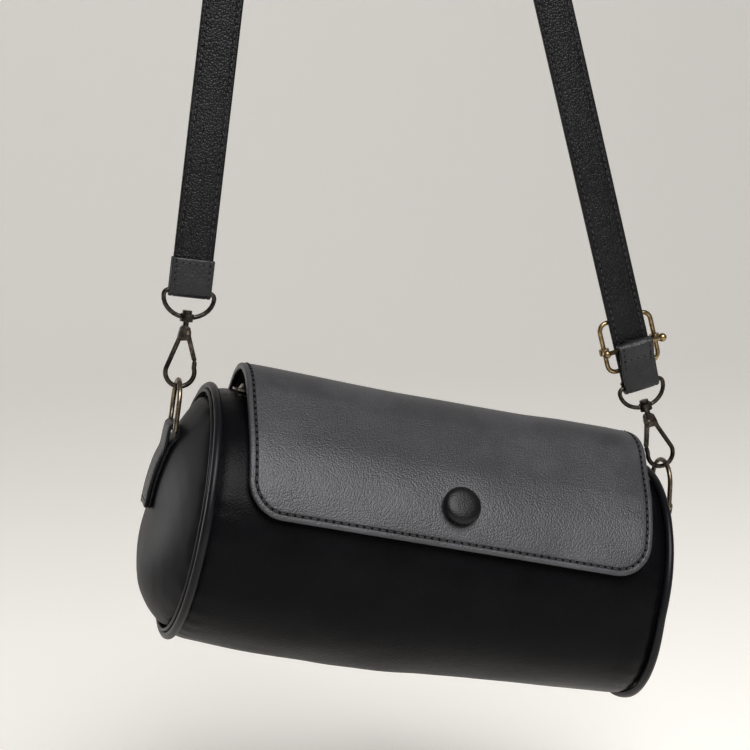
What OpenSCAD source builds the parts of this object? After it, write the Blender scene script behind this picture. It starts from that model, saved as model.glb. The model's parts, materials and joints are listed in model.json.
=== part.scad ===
// Small barrel bag hanging from its strap.
// The bag is a leather drum with padded round ends, a zip along its top and a flap over the zip.
// A long strap clips to a D-ring at each end with a swivel snap hook, and a slide sets its length.
// The origin is the underside of the strap where it hangs, +Z is up, and -Y is the front.

/* [Barrel] */
// Outer radius of the barrel
barrel_r = 53; // [48:0.5:60]
// Length of the barrel between the two end seams
barrel_len = 189; // [170:1:220]
// Thickness of the outer leather
skin_t = 1.2; // [0.8:0.1:1.6]
// Thickness of the stiffening board
board_t = 1.3; // [0.8:0.1:1.8]
// Thickness of the lining
lining_t = 0.7; // [0.4:0.1:1]
// How far the right end hangs below level, in degrees
bag_tilt = 12.5; // [8:0.5:16]

/* [Ends] */
// Height of the padded dome
dome_h = 14; // [10:0.5:15]
// How far the dome's edge lies inside the middle of the piping
dome_in = 2.6; // [2.4:0.1:4]
// Radius of the piping
piping_r = 2.2; // [1.5:0.1:2.4]
// Thickness of the flat board behind the padding
end_board_t = 1.6; // [1:0.1:2.4]

/* [Mouth and zip] */
// Distance from each end of the mouth to the end seam
mouth_margin = 6.5; // [5.5:0.5:20]
// Width of the mouth
mouth_w = 12; // [9.4:0.2:14]
// Distance from one tooth to the next on the same tape
tooth_pitch = 2.5; // [2:0.1:3.5]
// Width of a zip tape
tape_w = 10; // [7:0.5:12]
// Thickness of a zip tape
tape_t = 0.6; // [0.4:0.1:0.7]
// Length of the slider
slider_len = 10; // [8:0.5:12]
// Width of the slider
slider_w = 8.4; // [7.6:0.2:9]
// Length of the pull
pull_len = 18; // [12:1:24]

/* [Flap] */
// Gap between the barrel and the flap's inner face on the front
flap_gap = 1.9; // [1.7:0.1:3]
// Radius of the ridge that the flap makes over the zip
ridge_r = 30.3; // [26:0.5:34]
// Height of the ridge's inner face above the top of the barrel
ridge_rise = 8.9; // [8:0.1:11]
// Thickness of the flap's leather
flap_skin_t = 1.2; // [0.8:0.1:1.5]
// Thickness of the flap's stiffener
flap_board_t = 0.8; // [0.5:0.1:1.2]
// Thickness of the flap's lining
flap_lining_t = 0.6; // [0.4:0.1:0.8]
// Distance from each side of the flap to the end seam, at its ridge
flap_side_in = 6.5; // [5.5:0.5:20]
// How much further each side is drawn in at the flap's lower edge
flap_taper = 4.2; // [0:0.2:8]
// How far the flap sits to the right of the barrel's middle
flap_shift = 1.2; // [0:0.2:2]
// Radius of the flap's lower corners
flap_corner_r = 15; // [8:1:25]
// Height of the flap's lower edge above the barrel's middle, in degrees
flap_low_deg = 13.5; // [8:0.5:25]
// Height of the button above the barrel's middle, in degrees
button_deg = 32.5; // [28:0.5:38]
// Radius of the covered button
button_r = 8; // [6:0.5:10]
// Height of the covered button
button_h = 5.5; // [4:0.5:7]
// Radius of the two magnets that hold the flap
magnet_r = 7; // [5:0.5:8]

/* [Rings and tabs] */
// Radius of the ring's wire
ring_wire = 1.05; // [0.8:0.05:1.3]
// Half of the ring's width between the middles of its arms
ring_half_w = 9.5; // [9.5:0.5:12]
// Distance from the ring's bar to the middle of its top wire
ring_reach = 19.5; // [17:0.5:22]
// Width of the leather tab that holds the ring
tab_w = 15.6; // [12:0.2:16]
// Thickness of one ply of the tab
tab_ply = 1.5; // [1:0.1:1.8]

/* [Snap hooks] */
// Radius of the hook's wire
hook_wire = 1; // [0.8:0.05:1.2]
// Radius of the hook's round bottom
bow_r = 5.9; // [5.5:0.1:6.6]
// Distance from the hook's bottom wire to the middle of the eye's lower wire
hook_len = 28.3; // [26:0.1:32]
// Radius of the pin that the gate turns on
gate_pin_r = 0.6; // [0.5:0.05:0.8]
// Radius of the swivel stem
stem_r = 1.2; // [1:0.05:1.4]
// Half of the eye's width between the middles of its arms
eye_half_w = 10.3; // [10.3:0.1:12]
// Depth of the eye from its bar to the middle of its lower wire
eye_depth = 10.7; // [9:0.1:13]
// Radius of the eye's wire
eye_wire = 0.95; // [0.8:0.05:1.2]

/* [Strap] */
// Width of the strap
strap_w = 16.3; // [12:0.1:17]
// Thickness of the strap
strap_t = 2.2; // [1.6:0.1:2.6]
// Length of the sewn tab at the strap's fixed end
end_tab_len = 13; // [10:1:30]
// Width of the sewn tab at the strap's fixed end
end_tab_w = 17.3; // [15:0.1:17.3]
// Radius of the bend where the strap hangs
hang_r = 9; // [7:0.5:14]

/* [Slide] */
// Half of the slide's width between the middles of its rails
slide_half_w = 12; // [12:0.1:14]
// Length of the slide between the middles of its end bars
slide_len = 22; // [18:0.5:26]
// Radius of the slide's wire
slide_wire = 1.05; // [0.8:0.05:1.2]
// Height of the movable bar above the right eye's bar
bar_up = 17.6; // [16:0.1:22]
// Radius of the movable bar
bar_r = 1; // [0.8:0.05:1.2]
// Thickness of the skived strap end that is folded round the bar
fold_ply = 1.2; // [0.8:0.1:1.4]

/* [Hidden] */

LEFT = 0;
RIGHT = 1;
side_sign = [-1, 1];
round_fn = 64;
small_fn = 32;
wire_sides = 12;
// Gap between two layers that lie on each other
lay_gap = 0.1;
// Gap between pieces that turn or slide on each other
run_gap = 0.15;
// Gap between pieces that move apart
free_gap = 0.3;
// Gap between each ring and the hook that it hangs in
link_gap = 0.6;
// How far a cut runs past what it cuts
over = 2;

// Barrel layers from the outside in
skin_in_r = barrel_r - skin_t;
board_r = skin_in_r - lay_gap;
board_in_r = board_r - board_t;
lining_r = board_in_r - lay_gap;
lining_in_r = lining_r - lining_t;
half_len = barrel_len / 2;
end_gap = 0.2;
body_half = half_len - end_gap;

// Ends: piping, dome, padding, board and lining
piping_ring_r = barrel_r - skin_t / 2;
piping_x = half_len + piping_r;
dome_x = piping_x + piping_r * 0.65;
dome_r = piping_ring_r - dome_in;
dome_t = skin_t;
// Power of the dome's curve: 2 is a parabola, and more is fuller towards the edge
dome_fullness = 2.2;
end_disc_r = lining_in_r - lay_gap;
end_board_x = half_len - end_board_t - lay_gap;
end_lining_x = end_board_x - lining_t - lay_gap;

// Rings and tabs: where each ring's bar sits, out from the dome's edge and up from the axis
ring_bar_out = [11.4, 11.7];
ring_bar_z = [33.5, 38];
ring_lean = [8.5, 1.5];
tab_low_z = 0;
tab_gap = 0.2;
tab_hole_r = ring_wire + run_gap;

// Hooks, eyes and strap legs: how far each leans from the vertical, in degrees
hook_lean = [8, -19.6];
leg_lean = [7.5, -14.85];
hook_pitch = ring_wire + hook_wire + link_gap;

// Places in the upright plane of the strap, counted from the middle of the barrel
function tilted(x, z) = [x * cos(bag_tilt) + z * sin(bag_tilt), z * cos(bag_tilt) - x * sin(bag_tilt)];
function along(lean) = [sin(lean), cos(lean)];
ring_bar_x = [for (i = [LEFT, RIGHT]) side_sign[i] * (dome_x + ring_bar_out[i])];
ring_bar = [for (i = [LEFT, RIGHT]) tilted(ring_bar_x[i], ring_bar_z[i])];
ring_top = [for (i = [LEFT, RIGHT]) ring_bar[i] + ring_reach * along(ring_lean[i])];
hook_low = [for (i = [LEFT, RIGHT]) ring_top[i] - hook_pitch * along(hook_lean[i])];
eye_low = [for (i = [LEFT, RIGHT]) hook_low[i] + hook_len * along(hook_lean[i])];
eye_bar = [for (i = [LEFT, RIGHT]) eye_low[i] + eye_depth * along(leg_lean[i])];

// The two legs of the strap meet in a bend that hangs on whatever holds the bag
slope = [tan(leg_lean[LEFT]), tan(-leg_lean[RIGHT])];
meet_z = (eye_bar[RIGHT][0] - eye_bar[LEFT][0] + eye_bar[LEFT][1] * slope[LEFT]
    + eye_bar[RIGHT][1] * slope[RIGHT]) / (slope[LEFT] + slope[RIGHT]);
meet_x = eye_bar[LEFT][0] + (meet_z - eye_bar[LEFT][1]) * slope[LEFT];
half_angle = (leg_lean[LEFT] - leg_lean[RIGHT]) / 2;
mid_lean = (leg_lean[LEFT] + leg_lean[RIGHT]) / 2;
bend_mid = [meet_x, meet_z] - hang_r / sin(half_angle) * along(mid_lean);
hang_point = bend_mid + [0, hang_r - strap_t / 2];
bag_mid = -hang_point;

// Turns and moves a piece that is drawn round the barrel's own axis
module in_bag() {
    translate([bag_mid[0], 0, bag_mid[1]]) rotate([0, bag_tilt, 0]) children();
}

// Moves a piece that is drawn upright to a place in the strap's plane, leaning by an angle
module leaning(place, lean) {
    translate([place[0] + bag_mid[0], 0, place[1] + bag_mid[1]]) rotate([0, lean, 0]) children();
}

// A piece of the left end or, mirrored, of the right end
module at_end(side) {
    in_bag() if (side == LEFT) mirror([1, 0, 0]) children(); else children();
}

// A cylinder along X from one place to another
module rod_x(r, x0, x1, sides = round_fn) {
    translate([x0, 0, 0]) rotate([0, 90, 0]) cylinder(r = r, h = x1 - x0, $fn = sides);
}

// Points on an arc round a middle, from one angle to another
function arc(mid, r, a0, a1, steps) =
    [for (i = [0:steps]) mid + r * [cos(a0 + (a1 - a0) * i / steps), sin(a0 + (a1 - a0) * i / steps)]];

function unit_of(v) = v / norm(v);
function back_to_front(list) = [for (i = [len(list) - 1:-1:0]) list[i]];

// Round wire swept along points in the XZ plane
module wire(path, r, closed = false) {
    last = len(path) - 1;
    rings = [for (i = [0:last])
        let (before = path[closed ? (i + last) % (last + 1) : max(i - 1, 0)],
             after = path[closed ? (i + 1) % (last + 1) : min(i + 1, last)],
             run = unit_of(after - before))
        [for (k = [0:wire_sides - 1])
            let (a = 360 * k / wire_sides)
            [path[i][0] - run[1] * r * cos(a), r * sin(a), path[i][1] + run[0] * r * cos(a)]]];
    points = [for (ring = rings) each ring];
    spans = closed ? last + 1 : last;
    walls = [for (i = [0:spans - 1], k = [0:wire_sides - 1])
        let (j = (i + 1) % (last + 1), m = (k + 1) % wire_sides)
        each [[i * wire_sides + k, j * wire_sides + m, j * wire_sides + k],
              [i * wire_sides + k, i * wire_sides + m, j * wire_sides + m]]];
    caps = closed ? [] : [[for (k = [wire_sides - 1:-1:0]) k],
        [for (k = [0:wire_sides - 1]) last * wire_sides + k]];
    polyhedron(points = points, faces = concat(walls, caps), convexity = 6);
}

// Barrel: a drum of leather, board and lining, each open along the top
mouth_len = barrel_len - 2 * mouth_margin;
slot_half = mouth_w / 2;
sewn_w = tape_w - mouth_w * 0.2;
board_slot_half = slot_half + sewn_w * 0.9;
lining_back = 3.2;
lining_slot_half = slot_half + lining_back;

module drum(r_out, r_in, half, slot, slot_len) {
    in_bag() difference() {
        rod_x(r_out, -half, half);
        rod_x(r_in, -half - over, half + over);
        translate([-slot_len / 2, -slot, 0]) cube([slot_len, 2 * slot, r_out + over]);
    }
}

module barrel_skin() color([0.06, 0.06, 0.065]) drum(barrel_r, skin_in_r, body_half, slot_half, mouth_len);

module barrel_board() {
    color([0.45, 0.42, 0.38]) difference() {
        drum(board_r, board_in_r, body_half, board_slot_half, mouth_len + 2 * sewn_w);
        on_front(button_deg, board_in_r - over)
            cylinder(r = magnet_r + lay_gap, h = 2 * over + board_t, $fn = round_fn);
    }
}

module barrel_lining() {
    color([0.12, 0.12, 0.13]) drum(lining_r, lining_in_r, body_half, lining_slot_half, mouth_len + sewn_w);
}

// Front angles count from the barrel's middle line upwards, so a place on the front is turned by them
module on_front(deg, r) {
    in_bag() rotate([-deg, 0, 0]) translate([0, -r, 0]) rotate([90, 0, 0]) children();
}

magnet_t = 0.9;
magnet_sag = barrel_r - sqrt(barrel_r * barrel_r - magnet_r * magnet_r);
body_magnet_r = skin_in_r - lay_gap - magnet_sag - magnet_t;
module body_magnet() {
    color([0.6, 0.6, 0.62]) on_front(button_deg, body_magnet_r)
        cylinder(r = magnet_r, h = magnet_t, $fn = round_fn);
}

// Round ends: a domed leather panel over padding, closed by a board and a lining
function dome_curve(r, inset) =
    dome_x + (dome_h - inset) * (1 - pow(r / (dome_r - inset), dome_fullness));
function dome_at(r) = dome_curve(r, 0);

// Points on the dome from its middle to its edge, or on a dome that lies inside it
function dome_line(inset) =
    [for (i = [0:12]) let (r = (dome_r - inset) * i / 12) [r, dome_curve(r, inset)]];

module end_panel(side) {
    color([0.09, 0.09, 0.1]) at_end(side) rotate([0, 90, 0]) rotate_extrude($fn = round_fn)
        polygon(concat(dome_line(0), back_to_front(dome_line(dome_t))));
}

module end_padding(side) {
    back_x = half_len + lay_gap;
    inset = dome_t + lay_gap;
    color([0.8, 0.78, 0.72]) at_end(side) rotate([0, 90, 0]) rotate_extrude($fn = round_fn)
        polygon(concat([[0, back_x], [dome_r - inset, back_x]], back_to_front(dome_line(inset))));
}

module end_board(side) {
    color([0.5, 0.46, 0.4]) at_end(side)
        rod_x(end_disc_r, end_board_x, end_board_x + end_board_t);
}

module end_lining(side) {
    color([0.12, 0.12, 0.13]) at_end(side) rod_x(end_disc_r, end_lining_x, end_lining_x + lining_t);
}

module piping(side) {
    color([0.08, 0.08, 0.09]) at_end(side) translate([piping_x, 0, 0]) rotate([0, 90, 0])
        rotate_extrude($fn = round_fn)
        translate([piping_ring_r, 0]) circle(r = piping_r - lay_gap, $fn = small_fn);
}

// Zip: two tapes with interlocking teeth, stops at the ends, and a slider with its pull
zip_z = skin_in_r - lay_gap;
tape_edge = 2.4;
teeth_x0 = -mouth_len / 2 + slider_len * 0.85;
teeth_stop_in = 7;
teeth_x1 = mouth_len / 2 - teeth_stop_in;
tooth_h = 1.5;
tooth_reach = 0.9;
tooth_root = 1.3;
tooth_gap = 0.12;
tooth_low_z = zip_z - tape_t / 2 - tooth_h / 2;

module zip_tape(way) {
    tape_past = 2.6;
    tape_half = mouth_len / 2 + tape_past;
    color([0.07, 0.07, 0.075]) in_bag() intersection() {
        difference() {
            rod_x(zip_z, -tape_half, tape_half);
            rod_x(zip_z - tape_t, -tape_half - over, tape_half + over);
        }
        translate([-tape_half, way > 0 ? tape_edge : -tape_edge - tape_w, 0])
            cube([2 * tape_half, tape_w, zip_z]);
    }
}

// One comb of teeth: a narrow rib on the tape's edge with a tooth at every pitch
module zip_teeth(way) {
    count = floor((teeth_x1 - teeth_x0) / tooth_pitch) - 1;
    first = teeth_x0 + (way > 0 ? tooth_pitch / 2 : 0);
    half_tooth = tooth_pitch / 4 - tooth_gap / 2;
    rib_out = tape_edge - lay_gap / 2;
    comb = concat(
        [[first - tooth_pitch / 2, rib_out], [first - tooth_pitch / 2, tooth_root]],
        [for (i = [0:count]) let (x = first + i * tooth_pitch) each [
            [x - half_tooth * 0.8, tooth_root], [x - half_tooth * 0.8, 0], [x - half_tooth, -tooth_reach],
            [x + half_tooth, -tooth_reach], [x + half_tooth * 0.8, 0], [x + half_tooth * 0.8, tooth_root]]],
        [[first + (count + 1) * tooth_pitch - tooth_pitch / 2, tooth_root],
         [first + (count + 1) * tooth_pitch - tooth_pitch / 2, rib_out]]);
    color([0.1, 0.1, 0.11]) in_bag() translate([0, 0, tooth_low_z]) linear_extrude(height = tooth_h)
        polygon([for (p = comb) [p[0], way * p[1]]]);
}

// The bottom stop holds both tapes, and each tape has a small top stop
module zip_stops() {
    stop_l = 2.4;
    stop_gap = 0.4;
    top_back = 2.2;
    bottom_x = teeth_x1 + stop_gap;
    top_x = -mouth_len / 2 - top_back;
    top_l = 1.6;
    top_w = 1.7;
    top_h = zip_z - lay_gap - tooth_low_z;
    side_y = tape_edge - lay_gap;
    color([0.3, 0.29, 0.27]) in_bag() {
        translate([bottom_x, -side_y, tooth_low_z]) cube([stop_l, 2 * side_y, tooth_h]);
        for (y = [-side_y, side_y - top_w]) translate([top_x, y, tooth_low_z]) cube([top_l, top_w, top_h]);
    }
}

slider_x = -mouth_len / 2 + slider_len / 2;
plate_t = 0.9;
slider_top_z = barrel_r + run_gap;
slider_low_z = tooth_low_z - run_gap - plate_t;
post_l = 2.2;
post_w = 1.8;
bridge_w = 2.2;
bridge_h = 3;
bridge_l = 6.4;
pull_t = 1.1;
pull_w = 5.4;
pull_lift = 0.35;
pull_pivot_x = slider_x + run_gap;
pull_pivot_z = slider_top_z + plate_t + pull_t / 2 + pull_lift;

module zip_slider() {
    nose = slider_len * 0.45;
    half_plate = [[-slider_len / 2, slider_w * 0.36], [-nose * 0.4, slider_w / 2],
        [slider_len / 2, slider_w * 0.4]];
    plate = concat(half_plate, [for (p = back_to_front(half_plate)) [p[0], -p[1]]]);
    color([0.42, 0.36, 0.26]) in_bag() difference() {
        translate([slider_x, 0, 0]) union() {
            translate([0, 0, slider_top_z]) linear_extrude(height = plate_t) polygon(plate);
            translate([0, 0, slider_low_z]) linear_extrude(height = plate_t) polygon(plate);
            translate([-slider_len / 2 + lay_gap, -post_w / 2, slider_low_z + plate_t / 2])
                cube([post_l, post_w, slider_top_z - slider_low_z]);
            translate([-bridge_l / 2, bridge_w / 2, slider_top_z + plate_t / 2]) rotate([90, 0, 0])
                linear_extrude(height = bridge_w) polygon([[0, 0], [bridge_l * 0.16, bridge_h * 0.8],
                    [bridge_l * 0.3, bridge_h], [bridge_l * 0.7, bridge_h], [bridge_l * 0.84, bridge_h * 0.8],
                    [bridge_l, 0]]);
        }
        translate([pull_pivot_x, bridge_w, pull_pivot_z]) rotate([90, 0, 0])
            cylinder(r = pull_t / 2 + run_gap, h = 2 * bridge_w, $fn = small_fn);
    }
}

// The pull is a small plate whose pin runs through the slider's bridge
module zip_pull() {
    tag_x = 2.9;
    arm_w = 0.9;
    hole_r = 1.4;
    color([0.45, 0.38, 0.27]) in_bag() translate([pull_pivot_x, 0, pull_pivot_z]) {
        translate([0, pull_w / 2, 0]) rotate([90, 0, 0]) cylinder(r = pull_t / 2, h = pull_w, $fn = small_fn);
        for (way = [-1, 1]) translate([0, way * (pull_w - arm_w) / 2 - arm_w / 2, -pull_t / 2])
            cube([tag_x + arm_w, arm_w, pull_t]);
        difference() {
            translate([tag_x, -pull_w / 2, -pull_t / 2])
                cube([pull_len - tag_x - pull_w / 2, pull_w, pull_t]);
            translate([pull_len - pull_w, 0, -over]) cylinder(r = hole_r, h = 2 * over, $fn = small_fn);
        }
    }
}

// Flap: three layers that lie on the front, arch over the zip and are sewn on behind
flap_in_r = barrel_r + flap_gap;
flap_back_r = barrel_r + free_gap;
flap_top_w = barrel_len - 2 * flap_side_in;
flap_low_w = flap_top_w - 2 * flap_taper;
ridge_z = barrel_r + ridge_rise - ridge_r;
flap_t = flap_skin_t + flap_board_t + flap_lining_t + 2 * lay_gap;
ridge_front = 0.5;
ridge_mid = [ridge_front, ridge_z];
flap_seam_deg = 138;
strip_deg = 10;
hinge_deg = flap_seam_deg + 0.3;
ridge_turn = atan2(ridge_mid[1], ridge_mid[0]);
ridge_far = norm(ridge_mid);

// The flap's profile at a height above its inner face, as front distance and height
function flap_line(off) =
    let (front_a = ridge_turn - acos((flap_in_r - ridge_r) / ridge_far),
         back_a = ridge_turn + acos((flap_back_r - ridge_r) / ridge_far))
    concat(arc([0, 0], flap_in_r + off, flap_low_deg, front_a, 9),
        arc(ridge_mid, ridge_r + off, front_a, back_a, 20),
        arc([0, 0], flap_back_r + off, back_a, flap_seam_deg, 2));

module flap_outline(inset) {
    low_z = flap_in_r * sin(flap_low_deg) - over / 2 + inset;
    high_z = ridge_mid[1] + ridge_r + flap_t + over;
    low = flap_low_w / 2 - inset;
    high = flap_top_w / 2 - inset;
    corner = flap_corner_r - inset;
    half = concat([[high, high_z]], arc([low - corner, low_z + corner], corner, 0, -90, 8));
    polygon(concat([for (p = half) p], [for (p = back_to_front(half)) [-p[0], p[1]]]));
}

module flap_layer(off0, off1, inset) {
    in_bag() translate([flap_shift, 0, 0]) intersection() {
        translate([-flap_top_w / 2, 0, 0]) rotate([90, 0, 90]) linear_extrude(height = flap_top_w)
            polygon([for (p = concat(flap_line(off0), back_to_front(flap_line(off1)))) [-p[0], p[1]]]);
        translate([0, flap_top_w, 0]) rotate([90, 0, 0]) linear_extrude(height = 2 * flap_top_w)
            flap_outline(inset);
    }
}

flap_edge_in = 2.4;
flap_board_off = flap_lining_t + lay_gap;
module flap_skin() color([0.1, 0.1, 0.11]) flap_layer(flap_t - flap_skin_t, flap_t, 0);
module flap_board() {
    color([0.5, 0.47, 0.42]) flap_layer(flap_board_off, flap_board_off + flap_board_t, flap_edge_in);
}
module flap_lining() color([0.12, 0.12, 0.13]) flap_layer(0, flap_lining_t, 0);

// The strip sewn to the back carries the flap's edge
module flap_seam_strip() {
    side_in = 2;
    strip_w = flap_top_w - 2 * side_in;
    low = arc([0, 0], barrel_r + lay_gap, hinge_deg + 0.3, hinge_deg + strip_deg, 4);
    high = arc([0, 0], flap_back_r + flap_t, hinge_deg + 0.3, hinge_deg + strip_deg, 4);
    color([0.08, 0.08, 0.09]) in_bag() translate([flap_shift - strip_w / 2, 0, 0]) rotate([90, 0, 90])
        linear_extrude(height = strip_w)
        polygon([for (p = concat(low, back_to_front(high))) [-p[0], p[1]]]);
}

// A domed button covered in leather, with a flat base on the flap
module flap_button() {
    edge_h = button_h * 0.3;
    base_r = button_r * 0.8;
    top_h = button_h - edge_h;
    color([0.08, 0.08, 0.09]) on_front(button_deg, flap_in_r + flap_t + lay_gap / 2)
        rotate_extrude($fn = round_fn)
        polygon(concat([[0, 0], [base_r, 0], [button_r * 0.95, edge_h * 0.45]],
            [for (i = [0:8]) [button_r * cos(90 * i / 8), edge_h + top_h * sin(90 * i / 8)]]));
}

module flap_magnet() {
    sag = flap_in_r - sqrt(flap_in_r * flap_in_r - magnet_r * magnet_r);
    color([0.35, 0.33, 0.3]) on_front(button_deg, flap_in_r - sag - lay_gap - magnet_t * 0.8)
        cylinder(r = magnet_r, h = magnet_t * 0.8, $fn = round_fn);
}

// Leather tab sewn to the dome, folded round the ring's bar
module ring_tab(side) {
    bar = [dome_x + ring_bar_out[side], ring_bar_z[side]];
    loop_r = tab_hole_r + tab_ply;
    leave_z = bar[1] - 4 * loop_r;
    steps = 8;
    inner = [for (i = [0:steps])
        let (z = tab_low_z + (leave_z - tab_low_z) * i / steps) [dome_at(z) + tab_gap, z]];
    outer = [for (p = back_to_front(inner)) p + [2 * tab_ply, 0]];
    color([0.07, 0.07, 0.08]) at_end(side) translate([0, tab_w / 2, 0]) rotate([90, 0, 0])
        linear_extrude(height = tab_w) difference() {
            polygon(concat(inner, [[bar[0] - loop_r * 0.9, bar[1] - loop_r * 0.3]],
                arc(bar, loop_r, 180, 0, 12), [[bar[0] + loop_r * 0.9, bar[1] - loop_r * 0.8]], outer));
            translate(bar) circle(r = tab_hole_r, $fn = small_fn);
        }
}

// D-ring: a straight bar in the tab and a round bow that the hook holds
module ring(side) {
    top = ring_reach - ring_half_w;
    foot = ring_wire * 1.12;
    bow = concat([[ring_half_w, 0]], arc([0, top], ring_half_w, 0, 180, 16), [[-ring_half_w, 0]]);
    color([0.36, 0.3, 0.2]) leaning(ring_bar[side], ring_lean[side]) rotate([0, 0, 90]) {
        wire(bow, ring_wire);
        rod_x(ring_wire, -ring_half_w, ring_half_w, small_fn);
        for (way = [-1, 1]) translate([way * ring_half_w, 0, 0]) sphere(r = foot, $fn = small_fn);
    }
}

// Swivel snap hook, drawn with the middle of its lower wire at zero and its gate on the +X side
head_len = 5.6;
neck_len = 3.4;
head_top = hook_len - neck_len;
head_low = head_top - head_len;
head_half = 2.5;
head_d = 3.6;
gate_slot = 1.9;
pin_side = 1.1;
pin_below = 2.6;
pin_at = [pin_side, head_top - pin_below];
nose_in = 0.45;
nose_at = [bow_r - nose_in, bow_r * 1.8];
stem_past = 2.6;
stem_top = hook_len + stem_past;
collar_h = 3.2;
collar_r = 2.7;
stem_head_h = 1.2;
pin_fit = 0.02;
gate_fit = 0.05;
slot_past = 1.9;

module hooked(side) {
    leaning(hook_low[side], hook_lean[side]) rotate([0, 0, side == LEFT ? 0 : 180]) children();
}

module hook_body(side) {
    arm_top = [-head_half + hook_wire * 0.8, head_low + hook_wire];
    turn_a = 192;
    bow = concat([arm_top], arc([0, bow_r], bow_r, turn_a - 22, 382, 24), [nose_at]);
    color([0.22, 0.19, 0.16]) hooked(side) difference() {
        union() {
            wire(bow, hook_wire);
            translate([0, head_d / 2, 0]) rotate([90, 0, 0]) linear_extrude(height = head_d)
                polygon([[-head_half * 1.1, head_low - head_len * 0.1], [head_half * 1.02, head_low],
                    [head_half, head_low + head_len * 0.4], [head_half * 0.8, head_top - head_len * 0.14],
                    [head_half * 0.5, head_top], [-head_half * 0.5, head_top],
                    [-head_half * 0.8, head_top - head_len * 0.14], [-head_half, head_low + head_len * 0.4]]);
            translate([0, 0, head_top - head_len * 0.2])
                cylinder(r = stem_r, h = stem_top - head_top + head_len * 0.2, $fn = small_fn);
            translate([0, 0, hook_len + collar_h / 2 + run_gap])
                cylinder(r = stem_r * 1.65, h = stem_head_h, $fn = small_fn);
        }
        translate([-head_half * 0.45, -gate_slot / 2, head_low - over])
            cube([3 * head_half, gate_slot, pin_at[1] - head_low + over + slot_past]);
        translate([pin_at[0], over + head_d, pin_at[1]]) rotate([90, 0, 0])
            cylinder(r = gate_pin_r + pin_fit, h = 2 * (head_d + over), $fn = small_fn);
    }
}

// The gate turns on the pin and its foot closes on the hook's nose
module hook_gate(side) {
    gate_t = gate_slot - 2 * run_gap;
    eye_r = 1.5;
    gap = 0.35;
    lean = atan2(nose_at[0] - pin_at[0], pin_at[1] - nose_at[1]);
    reach = norm(nose_at - pin_at) - gap;
    wide = hook_wire * 0.95;
    color([0.25, 0.22, 0.18]) hooked(side) translate([pin_at[0], 0, pin_at[1]]) rotate([90, -lean, 0])
        difference() {
            translate([0, 0, -gate_t / 2]) linear_extrude(height = gate_t) union() {
                circle(r = eye_r, $fn = small_fn);
                polygon([[-wide, 0], [-wide * 0.9, -reach + wide], [-wide * 0.5, -reach],
                    [wide * 0.7, -reach], [wide, -reach + wide], [wide * 1.1, 0]]);
            }
            translate([0, 0, -over]) cylinder(r = gate_pin_r + gate_fit, h = 2 * over, $fn = small_fn);
        }
}

module gate_pin(side) {
    pin_past = 0.25;
    color([0.5, 0.44, 0.33]) hooked(side) translate([pin_at[0], head_d / 2 + pin_past, pin_at[1]])
        rotate([90, 0, 0]) cylinder(r = gate_pin_r, h = head_d + 2 * pin_past, $fn = small_fn);
}

// A leaf spring in the head keeps the gate shut
module gate_spring(side) {
    leaf_t = 0.3;
    leaf_w = gate_slot - 2 * run_gap;
    leaf_h = slot_past + pin_below * 0.5;
    leaf_x = -head_half * 0.45 + lay_gap / 2;
    leaf_z = pin_at[1] + slot_past - lay_gap - leaf_h;
    color([0.6, 0.6, 0.6]) hooked(side) translate([leaf_x, -leaf_w / 2, leaf_z])
        cube([leaf_t, leaf_w, leaf_h]);
}

// Wire eye that the strap's end holds, with the swivel's collar on its lower side
module strap_eye(side) {
    corner = 2.2;
    low = eye_depth - corner;
    side_x = eye_half_w;
    path = concat(
        [[0, 0], [side_x - corner, 0]],
        [for (i = [1:5]) [side_x - corner + corner * sin(18 * i), -corner * (1 - cos(18 * i))]],
        [for (i = [1:15]) [side_x * cos(12 * i), -corner - low * sin(12 * i)]],
        [for (i = [5:-1:1]) [-side_x + corner - corner * sin(18 * i), -corner * (1 - cos(18 * i))]],
        [[-side_x + corner, 0]]);
    color([0.22, 0.19, 0.16]) difference() {
        union() {
            leaning(eye_bar[side], leg_lean[side]) wire(path, eye_wire, true);
            hooked(side) translate([0, 0, hook_len - collar_h / 2])
                cylinder(r = collar_r, h = collar_h, $fn = small_fn);
        }
        hooked(side) translate([0, 0, hook_len - collar_h])
            cylinder(r = stem_r + run_gap, h = 2 * collar_h, $fn = small_fn);
    }
}

// Strap: one band from the left eye, over the hanging bend, down to the right eye
leg_start = 3.6;
leg_end = 1.2;
jog_len = 2.4;
jog_back = strap_t / 2 + eye_wire + run_gap;
bend_start = bend_mid + hang_r * [-cos(leg_lean[LEFT]), sin(leg_lean[LEFT])];
bend_end = bend_mid + hang_r * [cos(leg_lean[RIGHT]), -sin(leg_lean[RIGHT])];
leg_len = [norm(bend_start - eye_bar[LEFT]), norm(bend_end - eye_bar[RIGHT])];
twist_from_share = 0.62;
twist_to_share = 0.97;

function ease(t) = let (u = max(0, min(1, t))) u * u * (3 - 2 * u);

// One place on the strap: middle point, how far it is set back, run direction and turn of the face
function leg_place(side, t) =
    let (from = side == LEFT ? leg_start : leg_end,
         s = from + t * (leg_len[side] - from),
         mid = eye_bar[side] + s * along(leg_lean[side]),
         back = side == RIGHT ? jog_back * (1 - ease((s - leg_end) / jog_len)) : 0,
         way = side == LEFT ? along(leg_lean[LEFT]) : -along(leg_lean[RIGHT]),
         turn = 90 * ease((t - twist_from_share) / (twist_to_share - twist_from_share)))
    [mid, back, way, turn];

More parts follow.
